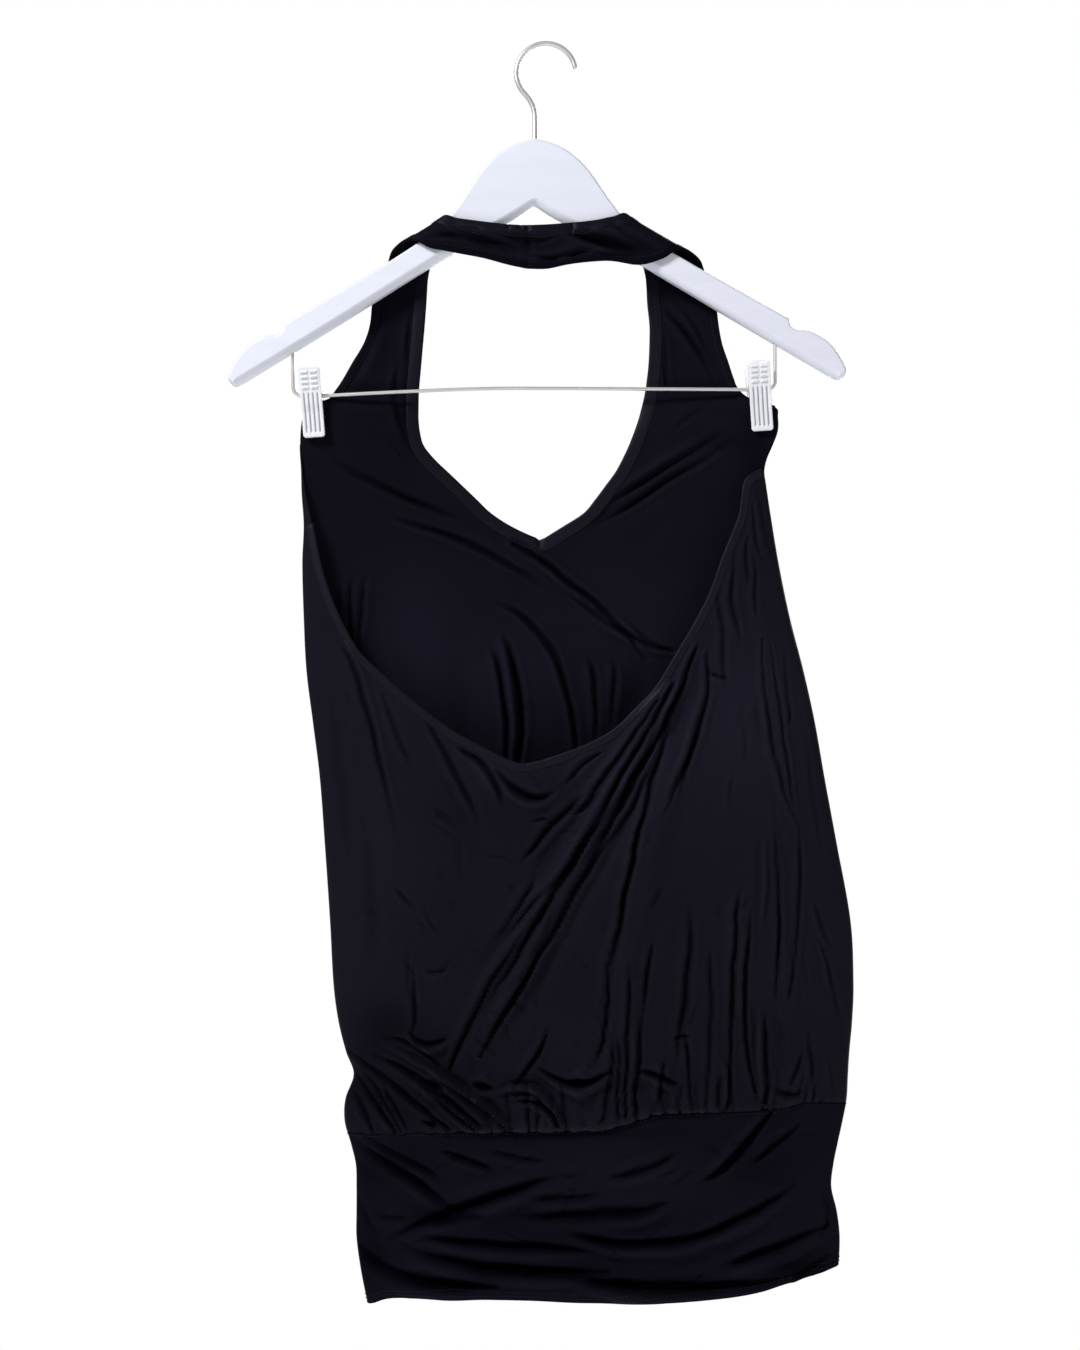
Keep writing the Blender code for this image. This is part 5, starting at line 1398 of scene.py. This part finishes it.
def upright(points):
    """Places in the hanger's middle plane from points across and up."""
    return np.stack([points[:, 0], np.zeros(len(points)), points[:, 1]], axis=-1)


def bend_hook(material):
    radius = HOOK_INNER_RADIUS + HOOK_WIRE / 2
    angles = np.radians(np.linspace(HOOK_TIP_DEG, HOOK_THROAT_DEG, 60))
    arc = np.stack([radius * np.cos(angles), radius * np.sin(angles) - HOOK_INNER_RADIUS], axis=-1)
    neck = smooth_line([arc[-1], *SHANK], 8)
    path = upright(np.vstack([arc[:-1], neck]))
    return round_wire("bent_hook", path, HOOK_WIRE / 2, HOOK_SIDES, material)


def bend_bar(material):
    return round_wire("bent_clip_bar", upright(smooth_line(BAR, 8)), BAR_WIRE / 2, BAR_SIDES, material)


# ---------------------------------------------------------------- clips
def clip_frame(clip, drop):
    turn = Euler((0.0, radians(-clip.tilt_deg), radians(clip.turn_deg)))
    return Matrix.LocRotScale(Vector((clip.x, 0.0, clip.z - drop)), turn, None)


def mould_jaw(clip, which, side, material):
    """A moulded jaw: a bent plate with rounded corners and edges, grip ridges above and grooves below on
    its outer face, and two ears round the bar. Painted shade lies under each grip ridge and along each
    groove."""
    line = smooth_line([(row.z, getattr(row, which)) for row in JAWS], 10)
    high, low, half = JAWS[0].z, JAWS[-1].z, CLIP_WIDTH / 2
    x = np.linspace(-half, half, JAW_COLUMNS)
    share = np.linspace(0.0, 1.0, JAW_LEVELS)[:, None]
    corner = np.maximum(abs(x) - (half - JAW_CORNER), 0.0)
    trim = JAW_CORNER - np.sqrt(JAW_CORNER**2 - corner**2)
    z = high - trim + (low - high + 2 * trim) * share
    x = np.broadcast_to(x, z.shape)
    inner = np.interp(-z, -line[:, 0], line[:, 1])
    rim = np.minimum(np.minimum(half - abs(x), high - trim - z), z - low - trim)
    rim = np.clip(rim, 0.0, JAW_EDGE)
    edge = np.sqrt(np.maximum(JAW_EDGE**2 - (JAW_EDGE - rim) ** 2, 0.0)) - JAW_EDGE
    grip, painted_jaw_shade = np.zeros_like(z), np.zeros_like(z)
    for row in range(GRIP_ROWS):
        level = GRIP_TOP - row * GRIP_STEP
        for middle in (-GRIP_MIDDLE, GRIP_MIDDLE):
            across = eased_step(GRIP_HALF + GRIP_END, GRIP_HALF - GRIP_END, abs(x - middle))
            under = (z - level + GRIP_SHADE_DROP) / GRIP_SHADE_WIDTH
            grip += GRIP_HEIGHT * across * np.exp(-(((z - level) / GRIP_WIDTH) ** 2))
            painted_jaw_shade += GRIP_SHADE * across * np.exp(-(under ** 2))
    for middle in GROOVES:
        along = eased_step(low + GROOVE_FOOT[0], low + GROOVE_FOOT[1], z)
        along = along * eased_step(GROOVE_TOP + 1.0, GROOVE_TOP - 1.0, z)
        grip -= GROOVE_DEPTH * along * np.exp(-(((x - middle) / GROOVE_WIDTH) ** 2))
        painted_jaw_shade += along * np.exp(-(((x - middle) / GROOVE_SHADE_WIDTH) ** 2))
    outer = inner + JAW_WALL + edge + grip
    faces = grid_faces(*z.shape) + [face[::-1] for face in grid_faces(*z.shape, z.size)]
    count, width = z.shape
    ring = list(range(width))
    ring += [row * width + width - 1 for row in range(1, count)]
    ring += [(count - 1) * width + column for column in range(width - 2, -1, -1)]
    ring += [row * width for row in range(count - 2, 0, -1)]
    faces += [(a, b, b + z.size, a + z.size) for a, b in zip(ring, ring[1:] + ring[:1])]
    places = [np.stack([x, side * y, z], axis=-1).reshape(-1, 3) for y in (outer, inner)]
    points = [np.vstack(places)]
    first = 2 * z.size
    ear_out = half if side < 0 else half - EAR_WALL - HOLE_CLEARANCE
    for hand in (-1, 1):
        ear, ear_faces = mould_ear(side, hand * (ear_out - EAR_WALL / 2), first)
        points.append(ear)
        faces += ear_faces
        first += len(ear)
    jaw = new_piece(f"moulded_{clip.name}_{which}_jaw", np.vstack(points), faces, material)
    store_values(jaw, "painted_jaw_shade", np.append(painted_jaw_shade, np.zeros(first - z.size)))
    jaw.data.set_sharp_from_angle(angle=radians(JAW_SHARP_DEG))
    jaw.data.transform(scaled_frame(clip_frame(clip, JAW_DROP)))
    return outward_faces(jaw)


def scaled_frame(frame):
    return Matrix.Scale(MM, 4) @ frame @ Matrix.Scale(1.0 / MM, 4)


def mould_ear(side, middle, first):
    """One ear as a rounded plate with the hole for the bar."""
    turns = np.linspace(0.0, 2 * pi, EAR_SIDES, endpoint=False)
    root = EAR_ROOTS[side]
    way = np.stack([np.cos(turns), np.sin(turns)], axis=-1)
    reach = np.where(way[:, 0] > 0, np.minimum(root / np.maximum(way[:, 0], 0.01),
                     EAR_RADIUS / np.maximum(abs(way[:, 1]), 0.01)), EAR_RADIUS)
    outline = way * reach[:, None]
    hole = way * EAR_HOLE_RADIUS
    half = EAR_WALL / 2
    face = outline * EAR_FACE_SHARE
    layers = [(face, -half), (outline, -half + EAR_EDGE), (outline, half - EAR_EDGE),
              (face, half), (hole, half), (hole, -half)]
    rings = []
    for ring, x in layers:
        rings.append(np.stack([np.full(len(ring), middle + x), side * ring[:, 0], ring[:, 1]], axis=-1))
    faces = grid_faces(len(rings), EAR_SIDES, first, closed=True)
    last = first + (len(rings) - 1) * EAR_SIDES
    for step in range(EAR_SIDES):
        follow = (step + 1) % EAR_SIDES
        faces.append((last + step, last + follow, first + follow, first + step))
    return np.vstack(rings), faces


def coil_spring(clip, material):
    """The clip's wire spring, wound round the bar with its two legs against the jaws."""
    turns = np.linspace(0.0, 2 * pi * SPRING_TURNS, SPRING_TURNS * SPRING_TURN_POINTS)
    radius = SPRING_OUTER_RADIUS - SPRING_WIRE / 2
    coil_x = np.linspace(-SPRING_WIDTH / 2, SPRING_WIDTH / 2, len(turns))
    coil = np.stack([coil_x, radius * np.cos(turns), radius * np.sin(turns)], axis=-1)
    first_leg = [(-SPRING_WIDTH / 2, radius, z) for z in SPRING_FIRST_LEG]
    last_leg = [(SPRING_WIDTH / 2, radius, z) for z in SPRING_LAST_LEG]
    path = np.vstack([first_leg, coil, last_leg])
    spring = round_wire(f"wound_{clip.name}_spring", path, SPRING_WIRE / 2, SPRING_SIDES, material)
    turn = Matrix.Translation(Vector((clip.x, 0.0, clip.z)))
    spring.data.transform(scaled_frame(turn))
    return spring


# ---------------------------------------------------------------- finishes
def node(tree, kind, **settings):
    made = tree.nodes.new(kind)
    for name, value in settings.items():
        setattr(made, name, value)
    return made


def join(tree, source, out, target, into):
    tree.links.new(source.outputs[out], target.inputs[into])


def new_group(name, inputs, outputs):
    tree = bpy.data.node_groups.new(name, "ShaderNodeTree")
    for label, kind, value in inputs:
        socket = tree.interface.new_socket(label, in_out="INPUT", socket_type=kind)
        if value is not None:
            socket.default_value = value
    for label, kind in outputs:
        tree.interface.new_socket(label, in_out="OUTPUT", socket_type=kind)
    return tree, tree.nodes.new("NodeGroupInput"), tree.nodes.new("NodeGroupOutput")


def math_node(tree, operation, first, second=None, third=None):
    made = node(tree, "ShaderNodeMath", operation=operation)
    for socket, value in zip(made.inputs, (first, second, third)):
        if value is None:
            continue
        if isinstance(value, (int, float)):
            socket.default_value = value
        else:
            tree.links.new(value, socket)
    return made.outputs[0]


def knit_group():
    """Fine jersey knit: upright rows of small loops, from the cloth's own measure in metres."""
    tree, given, made = new_group(
        "jersey knit",
        [("Vector", "NodeSocketVector", None), ("Wale width", "NodeSocketFloat", 0.0006),
         ("Course height", "NodeSocketFloat", 0.0005)],
        [("Height", "NodeSocketFloat")],
    )
    parts = node(tree, "ShaderNodeSeparateXYZ")
    join(tree, given, "Vector", parts, 0)
    across = math_node(tree, "DIVIDE", parts.outputs["X"], given.outputs["Wale width"])
    down = math_node(tree, "DIVIDE", parts.outputs["Y"], given.outputs["Course height"])
    lean = math_node(tree, "PINGPONG", across, 0.5)
    slant = math_node(tree, "ADD", down, math_node(tree, "MULTIPLY", lean, 1.2))
    wale = math_node(tree, "SINE", math_node(tree, "MULTIPLY", across, 2 * pi))
    course = math_node(tree, "SINE", math_node(tree, "MULTIPLY", slant, 2 * pi))
    both = math_node(tree, "MULTIPLY_ADD", course, 0.4, math_node(tree, "MULTIPLY", wale, 0.6))
    tree.links.new(both, made.inputs["Height"])
    return tree


def mottle_group():
    """Uneven patches at two sizes, as dye, handling and dust leave on a surface."""
    tree, given, made = new_group(
        "uneven patches",
        [("Vector", "NodeSocketVector", None), ("Patch scale", "NodeSocketFloat", 18.0),
         ("Fine scale", "NodeSocketFloat", 240.0), ("Fine share", "NodeSocketFloat", 0.4)],
        [("Amount", "NodeSocketFloat")],
    )
    values = []
    for label, detail in (("Patch scale", 3.0), ("Fine scale", 2.0)):
        noise = node(tree, "ShaderNodeTexNoise")
        noise.inputs["Detail"].default_value = detail
        join(tree, given, "Vector", noise, "Vector")
        tree.links.new(given.outputs[label], noise.inputs["Scale"])
        values.append(noise.outputs["Fac"])
    mix = node(tree, "ShaderNodeMix", data_type="FLOAT")
    join(tree, given, "Fine share", mix, 0)
    tree.links.new(values[0], mix.inputs[2])
    tree.links.new(values[1], mix.inputs[3])
    join(tree, mix, 0, made, "Amount")
    return tree


def edge_wear_group():
    """Where corners and edges stand out, broken up by noise."""
    tree, given, made = new_group(
        "worn edges",
        [("Vector", "NodeSocketVector", None), ("Break scale", "NodeSocketFloat", 90.0),
         ("From", "NodeSocketFloat", 0.52), ("To", "NodeSocketFloat", 0.62)],
        [("Amount", "NodeSocketFloat")],
    )
    point = node(tree, "ShaderNodeNewGeometry")
    noise = node(tree, "ShaderNodeTexNoise")
    join(tree, given, "Vector", noise, "Vector")
    join(tree, given, "Break scale", noise, "Scale")
    spread = node(tree, "ShaderNodeMapRange")
    join(tree, point, "Pointiness", spread, "Value")
    join(tree, given, "From", spread, "From Min")
    join(tree, given, "To", spread, "From Max")
    broken = math_node(tree, "MULTIPLY", spread.outputs[0], noise.outputs["Fac"])
    tree.links.new(broken, made.inputs["Amount"])
    return tree


def new_material(name, settings):
    """A material with its Principled shader's plain values set on its own sockets."""
    material = bpy.data.materials.new(name)
    material.use_nodes = True
    tree = material.node_tree
    shader = tree.nodes["Principled BSDF"]
    for label, value in settings.items():
        shader.inputs[label].default_value = value
    return material, tree, shader


def place_group(tree, group, vector, **values):
    made = node(tree, "ShaderNodeGroup", node_tree=group)
    tree.links.new(vector, made.inputs["Vector"])
    for label, value in values.items():
        made.inputs[label.replace("_", " ")].default_value = value
    return made.outputs[0]


def set_base(tree, shader, colour, roughness):
    tree.links.new(colour, shader.inputs["Base Color"])
    tree.links.new(math_node(tree, "MULTIPLY_ADD", *roughness), shader.inputs["Roughness"])


def ramp(tree, amount, stops):
    made = node(tree, "ShaderNodeValToRGB")
    while len(made.color_ramp.elements) < len(stops):
        made.color_ramp.elements.new(0.5)
    for element, (position, colour) in zip(made.color_ramp.elements, stops):
        element.position = position
        element.color = (*colour, 1.0)
    tree.links.new(amount, made.inputs["Fac"])
    return made.outputs["Color"]


def bump(tree, shader, height, strength, distance):
    made = node(tree, "ShaderNodeBump")
    made.inputs["Strength"].default_value = strength
    made.inputs["Distance"].default_value = distance
    tree.links.new(height, made.inputs["Height"])
    join(tree, made, "Normal", shader, "Normal")


def mix_colour(tree, share, first, second, blend="MIX"):
    made = node(tree, "ShaderNodeMix", data_type="RGBA", blend_type=blend)
    for socket, value in ((made.inputs[0], share), (made.inputs[6], first), (made.inputs[7], second)):
        if isinstance(value, (int, float)):
            socket.default_value = value
        elif isinstance(value, tuple):
            socket.default_value = (*value, 1.0)
        else:
            tree.links.new(value, socket)
    return made.outputs[2]


def jersey_finish(groups, look):
    """Black viscose jersey: soft sheen, fine knit, uneven dye, painted shade in the troughs and painted
    highlight on the crests.
    """
    material, tree, shader = new_material(look.name, {
        "Metallic": 0.0, "Specular IOR Level": look.gloss, "Specular Tint": (0.72, 0.66, 1.0, 1.0),
        "Sheen Weight": look.sheen, "Sheen Roughness": 0.42, "Sheen Tint": (0.62, 0.58, 1.0, 1.0),
    })
    knit, mottle, _ = groups
    cloth = node(tree, "ShaderNodeUVMap", uv_map="knit")
    place = node(tree, "ShaderNodeTexCoord")
    patches = place_group(tree, mottle, place.outputs["Object"], Patch_scale=9.0, Fine_scale=420.0,
                          Fine_share=0.35)
    colour = ramp(tree, patches, [(0.3, look.deep), (0.7, look.light)])
    # Painted highlight where the mask is negative, then painted shade where it is positive.
    trough = node(tree, "ShaderNodeAttribute", attribute_name="trough")
    highlight_share = math_node(tree, "MULTIPLY", trough.outputs["Fac"], -look.crest_light)
    highlight_share.node.use_clamp = True
    colour = mix_colour(tree, highlight_share, colour, tuple(PAINTED_HIGHLIGHT_GAIN * value for value in look.light))
    share = math_node(tree, "MULTIPLY", trough.outputs["Fac"], look.trough_dark)
    share.node.use_clamp = True
    colour = mix_colour(tree, share, colour, PAINTED_SHADE_COLOUR)
    set_base(tree, shader, colour, (patches, 0.12, look.roughness - 0.06))
    loops = place_group(tree, knit, cloth.outputs["UV"], Wale_width=WALE_WIDTH, Course_height=COURSE_HEIGHT)
    fuzz = math_node(tree, "MULTIPLY_ADD", patches, 1.4, loops)
    bump(tree, shader, fuzz, 0.35, 0.00012)
    return material


def paint_finish(groups):
    """Satin white paint over wood, a little worn and greyed along its edges."""
    material, tree, shader = new_material("satin white paint", {
        "Metallic": 0.0, "Specular IOR Level": 0.5, "Coat Roughness": 0.2,
    })
    _, mottle, wear = groups
    place = node(tree, "ShaderNodeTexCoord")
    long_grain = node(tree, "ShaderNodeMapping")
    long_grain.inputs["Scale"].default_value = (1.0, 6.0, 9.0)
    join(tree, place, "Object", long_grain, "Vector")
    patches = place_group(tree, mottle, long_grain.outputs["Vector"], Patch_scale=12.0, Fine_scale=90.0,
                          Fine_share=0.4)
    colour = ramp(tree, patches, [(0.3, (0.72, 0.74, 0.84)), (0.7, (0.77, 0.79, 0.89))])
    worn = place_group(tree, wear, place.outputs["Object"], Break_scale=120.0, From=0.53, To=0.7)
    colour = mix_colour(tree, math_node(tree, "MULTIPLY", worn, 0.25), colour, (0.66, 0.63, 0.62))
    set_base(tree, shader, colour, (patches, 0.2, 0.22))
    bump(tree, shader, patches, 0.25, 0.0003)
    return material


def steel_finish(groups):
    """Bright plated wire, faintly uneven in tone and gloss."""
    material, tree, shader = new_material("plated steel wire", {"Metallic": 0.6, "Specular IOR Level": 0.6})
    _, mottle, _ = groups
    place = node(tree, "ShaderNodeTexCoord")
    patches = place_group(tree, mottle, place.outputs["Object"], Patch_scale=60.0, Fine_scale=900.0,
                          Fine_share=0.5)
    colour = ramp(tree, patches, [(0.3, (0.70, 0.67, 0.67)), (0.75, (0.82, 0.79, 0.79))])
    set_base(tree, shader, colour, (patches, 0.16, 0.26))
    return material


def plastic_finish(groups):
    """Clear moulded plastic with a bluish cast, cloudier where it has rubbed, with painted shade in the
    jaws' grooves and under their grip ridges.
    """
    material, tree, shader = new_material("clear moulded plastic", {
        "Metallic": 0.0, "Transmission Weight": 0.15, "IOR": 1.49, "Specular IOR Level": 0.6,
    })
    _, mottle, wear = groups
    place = node(tree, "ShaderNodeTexCoord")
    patches = place_group(tree, mottle, place.outputs["Object"], Patch_scale=80.0, Fine_scale=700.0,
                          Fine_share=0.4)
    colour = ramp(tree, patches, [(0.3, (0.90, 0.93, 0.98)), (0.7, (0.97, 0.98, 1.0))])
    worn = place_group(tree, wear, place.outputs["Object"], Break_scale=400.0, From=0.52, To=0.66)
    colour = mix_colour(tree, math_node(tree, "MULTIPLY", worn, 0.5), colour, (0.95, 0.96, 1.0))
    # Painted shade in the grooves and under the grip ridges.
    painted_jaw_shade = node(tree, "ShaderNodeAttribute", attribute_name="painted_jaw_shade")
    share = math_node(tree, "MULTIPLY", painted_jaw_shade.outputs["Fac"], 0.85)
    colour = mix_colour(tree, share, colour, (0.22, 0.23, 0.33))
    set_base(tree, shader, colour, (patches, 0.2, 0.12))
    bump(tree, shader, patches, 0.12, 0.0001)
    return material


# ---------------------------------------------------------------- studio
def set_camera():
    data = bpy.data.cameras.new("camera")
    data.sensor_fit = "VERTICAL"
    data.sensor_height = SENSOR
    data.lens = SENSOR * CAMERA_DISTANCE / VIEW_HEIGHT
    camera = bpy.data.objects.new("camera", data)
    camera.location = Vector((CAMERA_AIM_X, -CAMERA_DISTANCE, CAMERA_AIM_Z)) * MM
    camera.rotation_euler = (pi / 2, 0.0, 0.0)
    bpy.context.scene.collection.objects.link(camera)
    bpy.context.scene.camera = camera


def add_light(name, place, size, power):
    data = bpy.data.lights.new(name, "AREA")
    data.shape = "DISK"
    data.size = size
    data.energy = power
    light = bpy.data.objects.new(name, data)
    light.location = place
    light.rotation_euler = (Vector(LIGHT_AIM) - Vector(place)).to_track_quat("-Z", "Y").to_euler()
    bpy.context.scene.collection.objects.link(light)


def set_studio():
    world = bpy.data.worlds.new("white surround")
    world.use_nodes = True
    tree = world.node_tree
    soft = tree.nodes["Background"]
    soft.inputs["Color"].default_value = (1.0, 1.0, 1.0, 1.0)
    soft.inputs["Strength"].default_value = WORLD_STRENGTH
    white = node(tree, "ShaderNodeBackground")
    white.inputs["Color"].default_value = (1.0, 1.0, 1.0, 1.0)
    seen = node(tree, "ShaderNodeMixShader")
    tree.links.new(node(tree, "ShaderNodeLightPath").outputs["Is Camera Ray"], seen.inputs[0])
    join(tree, soft, 0, seen, 1)
    join(tree, white, 0, seen, 2)
    tree.links.new(seen.outputs[0], tree.nodes["World Output"].inputs["Surface"])
    bpy.context.scene.world = world
    for light in LIGHTS:
        add_light(*light)
    bpy.context.scene.view_settings.view_transform = "Standard"
    material, _, _ = new_material("pale floor", {
        "Base Color": (0.0, 0.0, 0.0, 1.0), "Roughness": 1.0, "Specular IOR Level": 0.0,
        "Emission Color": (1.0, 1.0, 1.0, 1.0), "Emission Strength": 1.0,
    })
    turns = np.linspace(0.0, 2 * pi, FLOOR_SIDES, endpoint=False)
    disc = np.stack([np.cos(turns), np.sin(turns), np.full(FLOOR_SIDES, FLOOR_Z / FLOOR_RADIUS)], axis=-1)
    floor = new_piece("floor", disc * FLOOR_RADIUS, [tuple(range(FLOOR_SIDES))], material)


# ---------------------------------------------------------------- making
def ride_on(piece, slot, *nodes):
    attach(piece, BODY)
    if nodes:
        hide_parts(*nodes)
    return piece


def make_hanger(groups):
    paint, steel, plastic = paint_finish(groups), steel_finish(groups), plastic_finish(groups)
    ride_on(carve_board(paint), "white_paint", "hanger_board")
    ride_on(bend_hook(steel), "steel_wire", "hanger_hook")
    ride_on(bend_bar(steel), "steel_wire", "clip_bar")
    for clip in CLIPS:
        for which, side in (("front", -1), ("back", 1)):
            jaw = mould_jaw(clip, which, side, plastic)
            ride_on(jaw, "clear_plastic", f"clip_{clip.name}_{which}_jaw")
        ride_on(coil_spring(clip, steel), "steel_wire", f"clip_{clip.name}_spring")


def make_top(groups):
    looks = (OUTER_LOOK, INNER_LOOK, BAND_LOOK, TAPE_LOOK, EDGING_LOOK, THREAD_LOOK)
    outer, inner, band, tape, edging, thread = [jersey_finish(groups, look) for look in looks]
    tree = stitch_tree()
    back_rows, back_painted_shade = back_surface()
    back, back_cloth = sew_panel("halter_back", [(back_rows, back_painted_shade)], (0, -1, 0), outer)
    halves = {side: front_surface(side) for side in (-1, 1)}
    front, front_cloth = sew_panel("halter_front", list(halves.values()), (0, 1, 0), inner)
    bands = {}
    for side, word in ((-1, "back"), (1, "front")):
        rows, trough = band_surface(side)
        bands[side] = (*sew_panel(f"halter_hip_{word}", [(rows, trough)], (0, side, 0), band), rows)
    ride_on(back, "jersey", "back_panel")
    ride_on(front, "jersey", "front_panel")
    ride_on(bands[-1][0], "jersey", "hip_band_back")
    ride_on(bands[1][0], "jersey", "hip_band_front")

    lines = []
    scoop_rows = back_rows[:, 3 * BACK_STEPS:-2]
    edge = scoop_rows[0]
    inward = edge_frames(np.swapaxes(scoop_rows, 0, 1), 0, 0)[1]
    scoop, hems = bind_edge("scoop_binding", back_cloth, edge, inward, BINDING_REACH, (0, -1, 0), tape)
    ride_on(scoop, "binding", "back_binding")
    lines += stitch_line(hems, STITCH_ROW)
    v_row = sum(steps for _, steps in FRONT_LEVELS)
    corner = v_row + int(np.argmin(abs(halves[-1][0][v_row:, 0, 2] - CORNER_HEIGHT)))
    for side, word in ((-1, "left"), (1, "right")):
        rows = halves[side][0]
        edge, inward = edge_frames(rows, -1, v_row)
        inward[0] = (0.0, 0.0, -1.0)
        neck, hems = bind_edge(f"neckline_binding_{word}", front_cloth, edge, inward, NECK_BINDING_REACH,
                               (0, -1, 0), tape, NECK_SHADE[side])
        ride_on(neck, "binding", f"neck_binding_{word}")
        for row in NECK_STITCH_ROWS:
            lines += stitch_line(hems, row)
        edge, inward = edge_frames(rows, 0, corner)
        arm, hems = bind_edge(f"armhole_edge_{word}", front_cloth, edge, inward, BINDING_REACH,
                              (0, -1, 0), edging)
        ride_on(arm, "binding", f"armhole_binding_{word}")
        lines += stitch_line(hems, STITCH_ROW)
    for side in (-1, 1):
        _, cloth, rows = bands[side]
        for inset in HEM_STITCH_INSETS:
            lines.append(seam_line(cloth, rows[-1 - inset // 2], (0, side, 0)))
        lines.append(seam_line(cloth, rows[1], (0, side, 0)))
    stitches = ride_on(sew_stitches("stitching", lines, tree, thread), "binding")
    # The seam's rolled edge takes the paler thread finish, as painted highlight along it.
    seam_edge = ride_on(roll_seam(back_cloth, thread), "jersey")


def main():
    groups = knit_group(), mottle_group(), edge_wear_group()
    set_camera()
    set_studio()
    make_hanger(groups)
    make_top(groups)


main()
